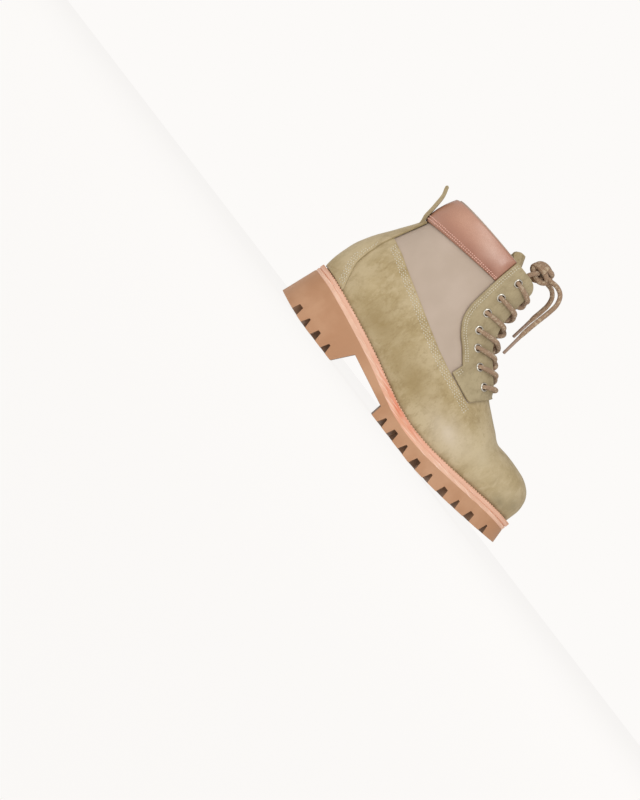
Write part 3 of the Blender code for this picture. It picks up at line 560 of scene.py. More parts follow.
def edge_loop(scale, inset, height, count):
    """Closed loop round a scaled outline, drawn in by an inset, at a height above each x."""
    angles = np.linspace(0.0, math.tau, count, endpoint=False)
    loop = []
    for angle in angles:
        x = HALF_LENGTH * scale * math.cos(angle)
        side = 1 if math.sin(angle) >= 0 else -1
        loop.append((x, plan_mid(x) + side * plan_half(x, scale, scale)))
    loop = np.array(loop)
    run = np.roll(loop, -1, axis=0) - np.roll(loop, 1, axis=0)
    run /= np.linalg.norm(run, axis=1)[:, None]
    loop = loop + inset * np.stack([-run[:, 1], run[:, 0]], axis=1)
    closed = np.vstack([loop, loop[:1]])
    return np.array([(x, y, height(x)) for x, y in closed])


welt = sole_layer("boot_welt", (welt_leather,), edge_rings(welt_top, WELT_RINGS))
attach(welt, "root")
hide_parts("welt")
welt_thread = thread_finish("coral_thread", (232, 186, 158), (208, 158, 128))
welt_loop = edge_loop(EDGE_SCALE, WELT_STITCH_INSET, welt_top, WELT_SPOTS)
stitch_row("welt_stitches", [(welt_loop, np.tile((0.0, 0.0, 1.0), (len(welt_loop), 1)))],
           WELT_STITCH_PITCH, WELT_STITCH, WELT_STITCH_RADIUS, welt_thread)

# Insole. A leather-covered board on the welt's inner edge, under the foot, tan and cloudy
# with wear.
insole_leather, shader, place = new_finish("tan_insole", {"Specular IOR Level": 0.3})
cloud = noise(place, 45.0, 4.0)
pores = place.node("ShaderNodeTexVoronoi", {"feature": "F1"}, {
    "Vector": place, "Scale": 900.0}, "Distance")
colour = mixed(between(cloud, 0.3, 0.7), tint(176, 138, 98), tint(196, 160, 120))
dress(shader, colour, 0.6 + 0.2 * cloud, pores, 0.1)
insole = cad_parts["insole"]
insole.data.materials.clear()
insole.data.materials.append(insole_leather)

# Upper. Vamp and counter are olive suede, cut in one and lasted over the foot; the quarters
# above them are greige woven nylon, tucked under the suede's edge. Three rows of cream thread
# hold that edge. A tan lining backs the whole wall.
WALL = 2.0
FEATHER_ALONG = 0.944
FEATHER_ACROSS = 0.90
SHAFT_MID = -1.0
SHAFT_MID_FROM = 55.0
SHAFT_MID_TO = 125.0

UpperRow = namedtuple("UpperRow", "top_x top_z low_x rise gap half widest squareness")
UPPER = table(UpperRow,
    (144.0, 41.0, 144.0, 0.0, 0.0, 0.0, 0.70, 2.3),
    (143.6, 52.0, 142.0, 0.0, 0.0, 10.6, 0.70, 2.4),
    (140.4, 62.5, 136.5, 0.0, 0.0, 19.6, 0.70, 2.4),
    (132.0, 71.4, 127.0, 0.0, 0.0, 28.8, 0.70, 2.4),
    (118.0, 75.8, 113.0, 0.0, 0.0, 37.4, 0.72, 2.4),
    (101.0, 76.6, 95.0, 0.0, 0.0, 44.0, 0.74, 2.35),
    (85.0, 76.2, 75.0, 0.0, 0.0, 47.8, 0.76, 2.2),
    (71.0, 81.0, 54.0, 0.0, 0.0, 49.6, 0.78, 2.1),
    (58.0, 87.4, 31.0, 0.0, 0.0, 48.0, 0.78, 2.0),
    (44.5, 94.5, 3.0, 0.0, 0.0, 43.4, 0.74, 2.0),
    (38.5, 101.0, -22.0, 0.0, 8.5, 40.4, 0.68, 2.0),
    (32.0, 106.0, -50.0, 0.0, 11.0, 39.0, 0.63, 2.0),
    (25.5, 110.5, -80.0, 0.0, 12.0, 38.4, 0.59, 2.0),
    (19.0, 115.0, -106.0, 0.3, 12.6, 38.0, 0.56, 2.0),
    (13.0, 119.2, -126.0, 0.6, 13.0, 37.6, 0.55, 2.0),
    (8.0, 123.8, -138.0, 0.9, 13.3, 37.2, 0.54, 2.0),
    (4.0, 128.8, -143.8, 2.0, 13.5, 36.8, 0.53, 2.0),
    (0.5, 134.6, -145.6, 15.5, 13.7, 36.6, 0.52, 2.0),
    (-3.0, 141.6, -144.8, 31.5, 13.9, 36.6, 0.51, 2.0),
    (-6.0, 150.0, -140.6, 49.5, 14.1, 37.0, 0.50, 2.0),
    (-8.3, 159.5, -131.0, 74.0, 14.3, 37.8, 0.50, 2.0),
    (-9.7, 168.5, -121.8, 101.0, 14.5, 38.8, 0.50, 2.0),
    (-10.6, 180.0, -120.2, 120.5, 14.8, 39.8, 0.50, 2.0),
    (-13.5, 190.4, -118.4, 138.5, 15.0, 40.4, 0.50, 2.0))
THROAT_ROW = 9
BACK_ROW = 16
COLLAR_ROW = 21
TOP_ROW = len(UPPER) - 1

# The suede's upper edge in the side view, carried on under the backstay at its back end
VAMP_SEAM = table(LineRow,
    (-150.0, 121.0), (-126.0, 114.6), (-110.0, 111.0), (-98.0, 106.8), (-80.0, 101.6), (-60.0, 96.0),
    (-40.0, 90.0), (-20.0, 84.5), (0.0, 80.4), (20.0, 77.8), (33.0, 75.5), (46.0, 73.0))
UPPER_STEPS = 8
NYLON_STEPS = 22
SUEDE_STEPS = 40
SEAM_AND_TUCK_STEPS = 3
NYLON_SINK = 0.9
SINK_RUN = 0.3
SEAM_ROLL = 0.5
SEAM_EDGE_SINK = 0.5
SEAM_ROLLED_SINK = 0.05
THROAT_HEM = 9.0
TUCK = 0.992
TUCK_DEPTH = 0.5
LOW_EDGE_FADE = 1.3
TOP_CORNER = 8.0
TOP_ROW_STEP = 10.8
STITCH_PITCH = 2.3
STITCH = 1.65
STITCH_RADIUS = 0.48
ZIGZAG = 0.8
SEAM_STITCHES = (2.6, 4.9, 7.2)
SEAM_STITCH_FROM = -122.0
SEAM_STITCH_TO = 41.0
SEAM_SLOPE_BACK = 0.23
SEAM_SLOPE_FRONT = 0.19
STITCH_LIFT = 0.05
SHEET_SHARP = 50
LOCATE_FROM = 6.0
LOCATE_ROUNDS = 30
STATION_STEP = 0.02
DOWN_STEP = 0.004
ON_MIDLINE = 0.01
PARALLEL = 1e-9
SLACK = 1e-6

# Soft troughs (negative) and ridges where the suede has moved: side-view place, slant of the
# crease in degrees, half its length, half its width and its height. Past two of those lengths
# or three widths nothing is left of a crease.
CREASE_LENGTHS = 2
CREASE_WIDTHS = 3
CREASE_FADE = 1.6
CreaseRow = namedtuple("CreaseRow", "x z slant length width height")
CREASES = table(CreaseRow,
    (84.0, 66.0, 96.0, 26.0, 7.0, -0.9),
    (72.0, 66.0, 104.0, 24.0, 6.0, 0.5),
    (62.0, 62.0, 108.0, 20.0, 5.0, -0.5),
    (6.0, 52.0, 128.0, 17.0, 4.0, -0.7),
    (-2.0, 56.0, 132.0, 16.0, 4.0, 0.5),
    (-12.0, 50.0, 126.0, 14.0, 4.5, -0.5),
    (-46.0, 72.0, 158.0, 26.0, 6.0, -0.6),
    (-66.0, 84.0, 150.0, 22.0, 6.0, -0.6),
    (-84.0, 64.0, 40.0, 18.0, 7.0, -0.7),
    (-108.0, 70.0, 70.0, 18.0, 7.0, 0.5))


upper_columns = {
    name: smooth(list(range(len(UPPER))), [getattr(row, name) for row in UPPER])
    for name in ("top_x", "top_z", "low_x", "rise", "half", "widest", "squareness")
}
gap_behind_throat = smooth(list(range(THROAT_ROW, len(UPPER))), [row.gap for row in UPPER[THROAT_ROW:]])
Section = namedtuple("Section", "top_x top_z low_x low_z gap half low widest squareness")


@lru_cache(maxsize=None)
def section(station):
    """The upper's section at a station, with its lower end on the feather line or the back."""
    row = {name: function(station) for name, function in upper_columns.items()}
    low_half = plan_half(row["low_x"], FEATHER_ALONG, FEATHER_ACROSS)
    gap = gap_behind_throat(station) if station > THROAT_ROW else 0.0
    return Section(
        row["top_x"], row["top_z"], row["low_x"], welt_top(row["low_x"]) + CLEAR + row["rise"],
        gap, max(row["half"], SLACK), 0.0 if station >= BACK_ROW else min(low_half, row["half"]),
        row["widest"], row["squareness"])


def upper_mid(x, z):
    """Middle line of the upper: the sole's low down, straight in the shaft."""
    share = min(max((z - SHAFT_MID_FROM) / (SHAFT_MID_TO - SHAFT_MID_FROM), 0.0), 1.0)
    share = share * share * (3 - 2 * share)
    return plan_mid(x) + share * (SHAFT_MID - plan_mid(x))


def side_point(sec, down):
    """Side-view point a share of the way down a section's line."""
    return (sec.top_x + down * (sec.low_x - sec.top_x), sec.top_z + down * (sec.low_z - sec.top_z))


def half_at(sec, down):
    """Half width of a section: an arch from the throat's edge, then a tuck to the low edge."""
    if down <= sec.widest:
        arch = (1 - (1 - down / sec.widest) ** sec.squareness) ** (2 / sec.squareness)
        return math.sqrt(sec.gap ** 2 + (sec.half ** 2 - sec.gap ** 2) * arch)
    tuck = ((down - sec.widest) / (1 - sec.widest)) ** 2
    return math.sqrt(max(sec.half ** 2 - (sec.half ** 2 - sec.low ** 2) * tuck, 0.0))


def skin(station, down, side):
    """Point of the upper's outside, in millimetres."""
    sec = section(station)
    x, z = side_point(sec, down)
    return Vector((x, upper_mid(x, z) + side * half_at(sec, down), z))


def outward(station, down, side):
    """Direction out of the upper."""
    last = min(station + STATION_STEP, TOP_ROW)
    along = skin(last, down, side) - skin(last - 2 * STATION_STEP, down, side)
    lower = min(down + DOWN_STEP, 1.0)
    higher = max(down - DOWN_STEP, 0.0)
    across = skin(station, lower, side) - skin(station, higher, side)
    normal = along.cross(across) * (1 if side < 0 else -1)
    if half_at(section(station), down) < ON_MIDLINE:
        normal.y = 0.0
    return normal.normalized()


def skin_lifted(station, down, side, lift):
    """Point of the upper's outside, lifted out of it by a distance."""
    return skin(station, down, side) + outward(station, down, side) * lift


def crossing(station, edge):
    """How far down a section its line meets an edge drawn in the side view, or None."""
    sec = section(station)
    run_x = sec.low_x - sec.top_x
    run_z = sec.low_z - sec.top_z
    found = []
    for first, second in zip(edge, edge[1:]):
        edge_x = second.x - first.x
        edge_z = second.z - first.z
        cross = run_x * edge_z - run_z * edge_x
        if abs(cross) < PARALLEL:
            continue
        off_x = first.x - sec.top_x
        off_z = first.z - sec.top_z
        along = (off_x * run_z - off_z * run_x) / cross
        down = (off_x * edge_z - off_z * edge_x) / cross
        if -SLACK <= along <= 1 + SLACK and 0 <= down <= 1:
            found.append(down)
    return min(found) if found else None


def locate(x, z):
    """Station and share down of a side-view point on the upper, behind the toe cap."""
    low = LOCATE_FROM
    high = float(TOP_ROW)
    for _ in range(LOCATE_ROUNDS):
        middle = 0.5 * (low + high)
        sec = section(middle)
        turn = (sec.low_x - sec.top_x) * (z - sec.top_z) - (sec.low_z - sec.top_z) * (x - sec.top_x)
        if turn < 0:
            low = middle
        else:
            high = middle
    sec = section(low)
    run = Vector((sec.low_x - sec.top_x, sec.low_z - sec.top_z))
    down = run.dot(Vector((x - sec.top_x, z - sec.top_z))) / run.length_squared
    return low, min(max(down, 0.0), 1.0)


def creased(x, z):
    """Height of the creases at a side-view place, in millimetres."""
    height = 0.0
    for row in CREASES:
        slant = math.radians(row.slant)
        along = ((x - row.x) * math.cos(slant) + (z - row.z) * math.sin(slant)) / row.length
        across = (-(x - row.x) * math.sin(slant) + (z - row.z) * math.cos(slant)) / row.width
        if abs(along) < CREASE_LENGTHS and abs(across) < CREASE_WIDTHS:
            height += row.height * math.exp(-along * along * CREASE_FADE - across * across)
    return height


def tucked_under(station, side):
    """Point of the upper's turned-in edge, hidden on the welt."""
    low = skin(min(station, BACK_ROW), 1.0, side)
    mid = upper_mid(low.x, low.z)
    return Vector((TUCK * low.x, mid + TUCK * (low.y - mid), welt_top(low.x) - TUCK_DEPTH))


def length_down(sec):
    """Length of a section's line in the side view."""
    return math.hypot(sec.low_x - sec.top_x, sec.low_z - sec.top_z)


def top_corner(station):
    """Share down taken off by the rounded corner where the throat meets the topline."""
    below = (TOP_ROW - station) * TOP_ROW_STEP
    if below >= TOP_CORNER:
        return 0.0
    inset = TOP_CORNER - math.sqrt(TOP_CORNER ** 2 - (TOP_CORNER - below) ** 2)
    return inset / length_down(section(station))


def closing_in(first, last, steps):
    """Shares from first to last, in steps that grow shorter."""
    return [first + (last - first) * math.sin(0.5 * math.pi * i / steps) for i in range(steps + 1)]


def upper_rows(stations, columns, side, tucked=False):
    """Grid of lifted points: columns gives (share down, lift) pairs at each station."""
    rows = []
    for station in stations:
        row = []
        for down, lift in columns(station):
            x, z = side_point(section(station), down)
            row.append(skin_lifted(station, down, side, lift + creased(x, z)))
        if tucked:
            row.append(tucked_under(station, side) if station < BACK_ROW else row[-1].copy())
        rows.append(row if side > 0 else row[::-1])
    return rows


def lay_grid(form, rows, slots=None):
    """Faces through rows of points in millimetres, with a material slot for each column."""
    grid = [[form.verts.new(Vector(point) * MM) for point in row] for row in rows]
    for first, second in zip(grid, grid[1:]):
        for i in range(len(first) - 1):
            face = form.faces.new((first[i], first[i + 1], second[i + 1], second[i]))
            if slots:
                face.material_index = slots[i]


def thicken(piece, thickness, offset, inside=0, rim=0):
    """Give a sheet its wall, with other material slots inside and on its cut edge."""
    wall = piece.modifiers.new("wall", "SOLIDIFY")
    wall.thickness = thickness * MM
    wall.offset = offset
    wall.material_offset = inside
    wall.material_offset_rim = rim
    apply_modifiers(piece)


def suede_finish(name, base, pale, dark, marks=()):
    """Waxed suede: cloudy nap in three tones, patches of wear and of painted light and shade, brushed
    fine fibres.
    """
    material, shader, place = new_finish(name, {
        "Specular IOR Level": 0.2, "Sheen Weight": 0.15, "Sheen Roughness": 0.5})
    cloud = noise(place, 26.0, 4.0, 0.6)
    blotch = noise(place, 80.0, 4.0, 0.65)
    brushed = place.node("ShaderNodeMapping", {}, {
        "Vector": place, "Scale": (1.0, 1.0, 0.5), "Rotation": (0.0, 0.5, 0.0)})
    smear = noise(brushed, 190.0, 3.0, 0.6)
    stroke = noise(brushed, 95.0, 5.0, 0.55, 0.7)
    nap = noise(brushed, 760.0, 3.0, 0.65)
    fibre = noise(place, 3200.0, 2.0)
    colour = mixed(between(cloud, 0.36, 0.66), tint(*base), tint(*pale))
    for pattern, low, high, share, tone in (
            (blotch, 0.50, 0.74, 0.6, dark),
            (smear, 0.53, 0.68, 0.55, pale), (smear, 0.46, 0.30, 0.36, dark),
            (stroke, 0.53, 0.58, 0.34, pale), (stroke, 0.45, 0.40, 0.26, dark),
            (nap, 0.52, 0.74, 0.35, pale), (nap, 0.46, 0.28, 0.35, dark)):
        colour = mixed(between(pattern, low, high) * share, colour, tint(*tone))
    # Patches of wear, and of painted shade and painted highlight, on both sides.
    for side in (-1, 1):
        for row in marks:
            wear_and_painted_light = patch(place, (row.x, side * row.y, row.z), row.size) * row.share * (0.45 + blotch)
            wear_and_painted_light = wear_and_painted_light.node("ShaderNodeClamp", {}, {"Value": wear_and_painted_light})
            colour = mixed(wear_and_painted_light, colour, tint(*row.shade))
    low_edge = place.node("ShaderNodeAttribute", {"attribute_name": "low_edge"}, {}, "Fac")
    colour = mixed(low_edge * (0.5 + 0.5 * blotch), colour, tint(112, 92, 58))
    dress(shader, colour, 0.78 + 0.2 * nap, 0.5 * nap + 0.3 * smear + 0.2 * fibre, 0.32)
    return material


def darken_low_edge(piece):
    """Mark how close each point is to the welt, where dirt and shadow gather on the suede."""
    marks = piece.data.attributes.new("low_edge", "FLOAT", "POINT")
    for vertex, mark in zip(piece.data.vertices, marks.data):
        height = vertex.co.z / MM - welt_top(vertex.co.x / MM)
        mark.value = math.exp(-max(height, 0.0) / LOW_EDGE_FADE)


MarkRow = namedtuple("MarkRow", "x y z size share shade")
# Patches of tone on the suede. The pale patches on the vamp and toe, the grey scuffs at the toe and the
# smaller marks are wear and tone. The dark patch on the quarter (x -72) is painted shade, and the pale
# patch at the back of the heel (x -134) is a painted highlight.
SUEDE_MARKS = table(MarkRow,
    (44.0, 48.0, 44.0, (52.0, 40.0, 26.0), 0.9, (210, 195, 173)),
    (82.0, 44.0, 56.0, (58.0, 56.0, 40.0), 0.8, (202, 186, 154)),
    (122.0, 26.0, 54.0, (34.0, 34.0, 26.0), 0.6, (200, 184, 152)),
    (-72.0, 38.0, 56.0, (56.0, 40.0, 30.0), 1.0, (152, 130, 88)),
    (-14.0, 42.0, 50.0, (62.0, 50.0, 30.0), 0.9, (158, 137, 97)),
    (-104.0, 38.0, 72.0, (22.0, 30.0, 18.0), 0.6, (198, 179, 141)),
    (-134.0, 20.0, 84.0, (30.0, 40.0, 50.0), 0.7, (206, 189, 153)),
    (135.0, 14.0, 52.0, (20.0, 26.0, 20.0), 0.75, (146, 132, 104)),
    (124.0, 24.0, 44.0, (22.0, 24.0, 11.0), 0.9, (142, 128, 98)))
vamp_suede = suede_finish(
    "olive_suede", (172, 152, 112), (192, 174, 139), (149, 128, 88), SUEDE_MARKS)
cut_suede = suede_finish("cut_suede_edge", (160, 143, 106), (176, 159, 122), (138, 121, 87))
eyestay_suede = suede_finish("grey_olive_suede", (162, 146, 114), (178, 163, 130), (142, 126, 95))

NYLON_THREAD = 0.75
quarter_nylon, shader, place = new_finish("greige_nylon", {
    "Specular IOR Level": 0.3, "Sheen Weight": 0.12, "Sheen Roughness": 0.4})
cloud = noise(place, 30.0, 3.0)
warp, weft = [
    place.node("ShaderNodeSeparateXYZ", {}, {"Vector": place}, axis) * (math.tau / (NYLON_THREAD * MM))
    for axis in ("X", "Z")]
weave = warp.maths("SINE", warp) * weft.maths("SINE", weft)
threads = 0.5 + 0.5 * weave
colour = mixed(between(cloud, 0.3, 0.7), tint(187, 169, 152), tint(195, 177, 161))
colour = mixed(threads * 0.18, colour, tint(178, 160, 142))
dress(shader, colour, 0.66 + 0.1 * threads, threads, 0.10)

lining_cloth, shader, place = new_finish("tan_lining", {"Specular IOR Level": 0.2})
cloud = noise(place, 60.0, 3.0)
tufts = noise(place, 1500.0, 3.0)
colour = mixed(between(cloud, 0.3, 0.7), tint(186, 164, 130), tint(200, 180, 148))
dress(shader, colour, 0.85 + 0.1 * tufts, tufts, 0.2)


def seam_share(station):
    """Share down of the suede's edge, or 1 where the whole section is nylon."""
    found = crossing(station, VAMP_SEAM)
    return 1.0 if found is None else found


def quarter_columns(station):
    """Shares down and lifts of the wall: sunk nylon, the step at the seam, then suede."""
    edge = seam_share(station)
    long = length_down(section(station))
    sink = -NYLON_SINK * min((station - THROAT_ROW) / SINK_RUN, 1.0)
    first = top_corner(station)
    rolled = min(edge + SEAM_ROLL / long, 1.0)
    pairs = [(down, sink * min((down - first) * long / THROAT_HEM, 1.0))
             for down in closing_in(first, edge, NYLON_STEPS)]
    pairs += [(edge, SEAM_EDGE_SINK * sink), (rolled, SEAM_ROLLED_SINK * sink)]
    pairs += [(down, 0.0) for down in closing_in(rolled, 1, SUEDE_STEPS)[1:]]
    if edge == 1.0:
        pairs = [(down, sink if down == 1.0 else lift) for down, lift in pairs]
    return pairs


def make_upper():
    """The whole wall: suede below the seam, nylon above it and a step between them."""
    front = np.linspace(0.0, THROAT_ROW, THROAT_ROW * UPPER_STEPS + 1)
    rear = np.linspace(THROAT_ROW, TOP_ROW, (TOP_ROW - THROAT_ROW) * UPPER_STEPS + 1)
    vamp_pairs = [(down, 0.0) for down in sorted({down for down, _ in quarter_columns(THROAT_ROW)})]
    slots = [1] * NYLON_STEPS + [0] * (SUEDE_STEPS + SEAM_AND_TUCK_STEPS)
    form = bmesh.new()
    for side in (-1, 1):
        lay_grid(form, upper_rows(front, lambda station: vamp_pairs, side, True))
        lay_grid(form, upper_rows(rear, quarter_columns, side, True), slots if side > 0 else slots[::-1])
    weld(form)
    materials = (vamp_suede, quarter_nylon, lining_cloth, lining_cloth)
    upper = place_mesh("boot_upper", form, materials, SHEET_SHARP)
    thicken(upper, WALL - NYLON_SINK, offset=-1.0, inside=2, rim=2)
    darken_low_edge(upper)
    return upper


upper = make_upper()
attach(upper, "root")
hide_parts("upper")


def shifted(edge, distance):
    """Side-view line moved square to itself: to the left of its direction if positive."""
    moved = []
    for i, row in enumerate(edge):
        before = edge[max(i - 1, 0)]
        after = edge[min(i + 1, len(edge) - 1)]
        run = Vector((after.x - before.x, after.z - before.z)).normalized()
        moved.append(LineRow(row.x - run.y * distance, row.z + run.x * distance))
    return moved


def row_on_upper(edge, side, lift, spacing=2.0):
    """Points and normals along a side-view line laid on the upper, lifted by a height."""
    points = []
    normals = []
    for first, second in zip(edge, edge[1:]):
        steps = max(int(math.hypot(second.x - first.x, second.z - first.z) / spacing), 1)
        for i in range(steps):
            x = first.x + (second.x - first.x) * i / steps
            z = first.z + (second.z - first.z) * i / steps
            station, down = locate(x, z)
            points.append(skin_lifted(station, down, side, lift + creased(x, z)))
            normals.append(outward(station, down, side))
    return np.array(points), np.array(normals)


cream_thread = thread_finish("cream_thread", (226, 219, 202), (198, 189, 166))
seam_rows = []
for distance in SEAM_STITCHES:
    line = [row for row in shifted(VAMP_SEAM, -distance) if SEAM_STITCH_FROM <= row.x <= SEAM_STITCH_TO]
    back_z = line[0].z + SEAM_SLOPE_BACK * (line[0].x - SEAM_STITCH_FROM)
    front_z = line[-1].z - SEAM_SLOPE_FRONT * (SEAM_STITCH_TO - line[-1].x)
    line = [LineRow(SEAM_STITCH_FROM, back_z)] + line + [LineRow(SEAM_STITCH_TO, front_z)]
    seam_rows += [row_on_upper(line, side, STITCH_LIFT) for side in (-1, 1)]
stitch_row("vamp_stitches", seam_rows, STITCH_PITCH, STITCH, STITCH_RADIUS, cream_thread, ZIGZAG)

# Tongue. A soft suede sheet sewn in at the foot of the throat, under the eyestays. It leans
# back at the top, and its rounded end stands above the topline.
TONGUE = 3.0
TONGUE_CLEAR = 0.9
TONGUE_CROWN = 0.35
TONGUE_HALF = 27.0
TONGUE_FLAT_FROM = 9.0
TONGUE_PRESS = 3.0
PRESS_RUN_IN = 1.5
PRESS_END = 22.8
PRESS_RUN_OUT = 1.2
TONGUE_STEPS = 8
TONGUE_COLUMNS = 32
RIPPLE = 0.25
RIPPLE_ALONG = 2.6
RIPPLE_ACROSS = 0.12
TongueRow = namedtuple("TongueRow", "station back up half")
TONGUE_ROWS = table(TongueRow,
    (8.6, 0.6, 0.0, 9.0), (9.5, 0.4, 0.0, 15.0), (11.0, 0.0, 0.0, 20.0), (13.0, 0.0, 0.0, 22.0),
    (15.0, 0.0, 0.0, 23.5), (17.0, 0.0, 0.0, 24.5), (19.0, 0.6, 0.0, 25.0), (20.5, 3.0, 0.0, 25.5),
    (21.6, 7.5, 0.0, 26.0), (22.5, 14.0, 0.0, 27.0), (23.0, 21.2, 2.4, 27.0), (23.0, 23.4, 5.6, 26.4),
    (23.0, 25.3, 8.5, 24.6), (23.0, 26.6, 10.5, 22.0), (23.0, 27.3, 11.6, 18.5))


def throat_surface(station, y):
    """The foot's own instep: the upper's arch carried on across the open throat."""
    sec = section(station)
    reach = (y * y - sec.gap ** 2) / (sec.half ** 2 - sec.gap ** 2)
    down = sec.widest * (1 - math.sqrt(max(1 - reach, 0.0)))
    x, z = side_point(sec, down)
    return Vector((x, upper_mid(x, z) + y, z))


def over_throat(station, y, lift):
    """Point over (or under) the instep at a distance from the middle line."""
    step = 0.05
    last = min(station + step, TOP_ROW)
    along = throat_surface(last, y) - throat_surface(last - 2 * step, y)
    across = throat_surface(station, y + step) - throat_surface(station, y - step)
    normal = along.cross(across).normalized()
    return throat_surface(station, y) - normal * lift


def pressed(station, y):
    """How far the lace presses the tongue in between the eyestays."""
    gap = section(station).gap
    if gap <= 0 or abs(y) >= gap:
        return 0.0
    start = min(max((station - THROAT_ROW) / PRESS_RUN_IN, 0.0), 1.0)
    finish = min(max((PRESS_END - station) / PRESS_RUN_OUT, 0.0), 1.0)
    return TONGUE_PRESS * start * finish * (1 - (y / gap) ** 2) ** 2


def make_tongue():
    """The tongue's sheet, with soft ripples where the lace presses it."""
    knots = list(range(len(TONGUE_ROWS)))
    columns = [smooth(knots, [getattr(row, name) for row in TONGUE_ROWS]) for name in TongueRow._fields]
    rows = []
    for i in range(TONGUE_STEPS * knots[-1] + 1):
        at = i / TONGUE_STEPS
        station, back, up, half = [column(at) for column in columns]
        row = []
        for j in range(TONGUE_COLUMNS + 1):
            y = half * (2 * j / TONGUE_COLUMNS - 1)
            shift = Vector((-back, 0.0, up * (1 - TONGUE_CROWN * (y / TONGUE_HALF) ** 2)))
            ripple = RIPPLE * math.sin(RIPPLE_ALONG * min(at, TONGUE_FLAT_FROM) + RIPPLE_ACROSS * y)
            lift = ripple - WALL - TONGUE_CLEAR - pressed(station, y)
            row.append(over_throat(station, y, lift) + shift)
        rows.append(row)
    form = bmesh.new()
    lay_grid(form, rows)
    tongue = place_mesh("boot_tongue", form, (vamp_suede, lining_cloth, cut_suede), SHEET_SHARP)
    thicken(tongue, TONGUE, offset=-1.0, inside=1, rim=2)
    soften(tongue, width=0.8, segments=3, turn=50)
    return tongue


tongue = make_tongue()
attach(tongue, "root")
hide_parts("tongue")

# Backstay. An olive suede strip over the heel's middle seam, wide at the foot and narrow
# under the collar, with a darker cut edge and three rows of cream stitches at its foot.
OVERLAY = 1.75
OVERLAY_CLEAR = 0.1
BACKSTAY_EDGE = table(LineRow,
    (-112.0, 38.0), (-118.0, 50.0), (-124.0, 62.0), (-129.5, 76.0), (-129.5, 98.0), (-127.5, 112.0),
    (-124.6, 125.0), (-118.4, 152.0))
BACKSTAY_FOOT = 13.55
BACKSTAY_TOP = 20.95
EDGE_STEPS = 6
BACKSTAY_SLICES = 60
BACKSTAY_STEPS = 16
BACKSTAY_STITCH_FOOT = 50.0
BACKSTAY_STITCHES = ((2.2, 104.0), (4.2, 94.0), (6.2, 84.0))


def overlay(name, stations, columns, thickness, finish, sides=(-1, 1)):
    """Suede panel laid on the upper, with its cut edges softened."""
    form = bmesh.new()
    for side in sides:
        lay_grid(form, upper_rows(stations, columns, side))
    weld(form)
    panel = place_mesh(name, form, (finish, finish, cut_suede), SHEET_SHARP)
    thicken(panel, thickness, offset=1.0, inside=1, rim=2)
    soften(panel, width=0.35, segments=2, turn=55)
    panel.data.shade_smooth()
    panel.data.set_sharp_from_angle(angle=math.radians(SHEET_SHARP))
    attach(panel, "root")
    return panel


def curve_through(points, steps):
    """Smooth curve through points, in a number of steps from each to the next."""
    line = [Vector(point) for point in points]
    line = [line[0] * 2 - line[1]] + line + [line[-1] * 2 - line[-2]]
    curve = []
    for a, b, c, d in zip(line, line[1:], line[2:], line[3:]):
        for t in (step / steps for step in range(steps)):
            bend = (2 * a - 5 * b + 4 * c - d) * t * t + (3 * b - a - 3 * c + d) * t ** 3
            curve.append(0.5 * (2 * b + (c - a) * t + bend))
    return curve + [line[-2]]


def eased(edge):
    """Smooth side-view line through the points of another."""
    return [LineRow(*point) for point in curve_through(edge, EDGE_STEPS)]


backstay_line = eased(BACKSTAY_EDGE)


def backstay_columns(station):
    """Shares down and lifts of the strip, from its edge to the middle of the heel."""
    first = crossing(station, backstay_line)
    return [(down, OVERLAY_CLEAR) for down in closing_in(first, 1, BACKSTAY_STEPS)]


backstay_stations = np.linspace(BACKSTAY_FOOT, BACKSTAY_TOP, BACKSTAY_SLICES + 1)
backstay = overlay("boot_backstay", backstay_stations, backstay_columns, OVERLAY, vamp_suede)
darken_low_edge(backstay)
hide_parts("backstay")
backstay_rows = []
for distance, top_z in BACKSTAY_STITCHES:
    line = [row for row in shifted(backstay_line, distance) if BACKSTAY_STITCH_FOOT <= row.z <= top_z]
    backstay_rows += [row_on_upper(line, side, OVERLAY_CLEAR + OVERLAY) for side in (-1, 1)]
stitch_row("backstay_stitches", backstay_rows, STITCH_PITCH, STITCH, STITCH_RADIUS, cream_thread,
           ZIGZAG)

# Collar. A padded band of rose-brown leather, sewn along its lower edge with two rows of pale
# thread, stuffed with foam and turned over the topline to the inside.
# The eyestay's rear edge in the side view, from its squared foot up; the collar ends under it
EYESTAY_EDGE = table(LineRow,
    (36.0, 75.6), (14.0, 79.0), (2.5, 81.0), (3.5, 92.5), (-10.0, 102.5), (-20.0, 108.8),
    (-30.0, 118.6), (-35.0, 129.8), (-37.2, 142.0), (-38.8, 157.0), (-40.2, 172.0), (-41.0, 196.0))
eyestay_rear = eased(EYESTAY_EDGE[3:])
eyestay_line = EYESTAY_EDGE[:3] + eyestay_rear
COLLAR_PUFF = 4.2
COLLAR_TOP_LIFT = 2.2
COLLAR_BULGE = 0.42
COLLAR_TOP = TOP_ROW - 0.24
COLLAR_SEAM_LIFT = 0.5
COLLAR_ROLL = 2.6
COLLAR_INSIDE = -3.4
COLLAR_FACING = 26.0
COLLAR_LEATHER = 0.8
COLLAR_UNDER = 0.004
COLLAR_RUN_IN = 12.0
COLLAR_COLUMNS = 56
COLLAR_ROWS = 30
COLLAR_ROLL_STEPS = 12
COLLAR_FACING_STEPS = 8
COLLAR_WELD = 0.05
COLLAR_SHARP = 60
COLLAR_MARK_Y = 40.0
COLLAR_MARK_DEEP = 70.0
COLLAR_STITCHES = (1.9, 3.9)
COLLAR_STITCH_SPOTS = 60
COLLAR_STITCH_START = 0.02
COLLAR_STITCH_END = 0.999
COLLAR_STITCH_LIFT = 0.1
COLLAR_RISE_AT = 0.6
COLLAR_RISE_STEP = 0.5
# Painted light and shade on the collar, at side-view places with their length, height, share and colour.
# Painted highlights lie at the back of the top and on the front of the band. Painted shade lies along the
# lower seam, at the front end under the eyestay and along the top edge where the band rolls over.
CollarMark = namedtuple("CollarMark", "x z long tall share shade")
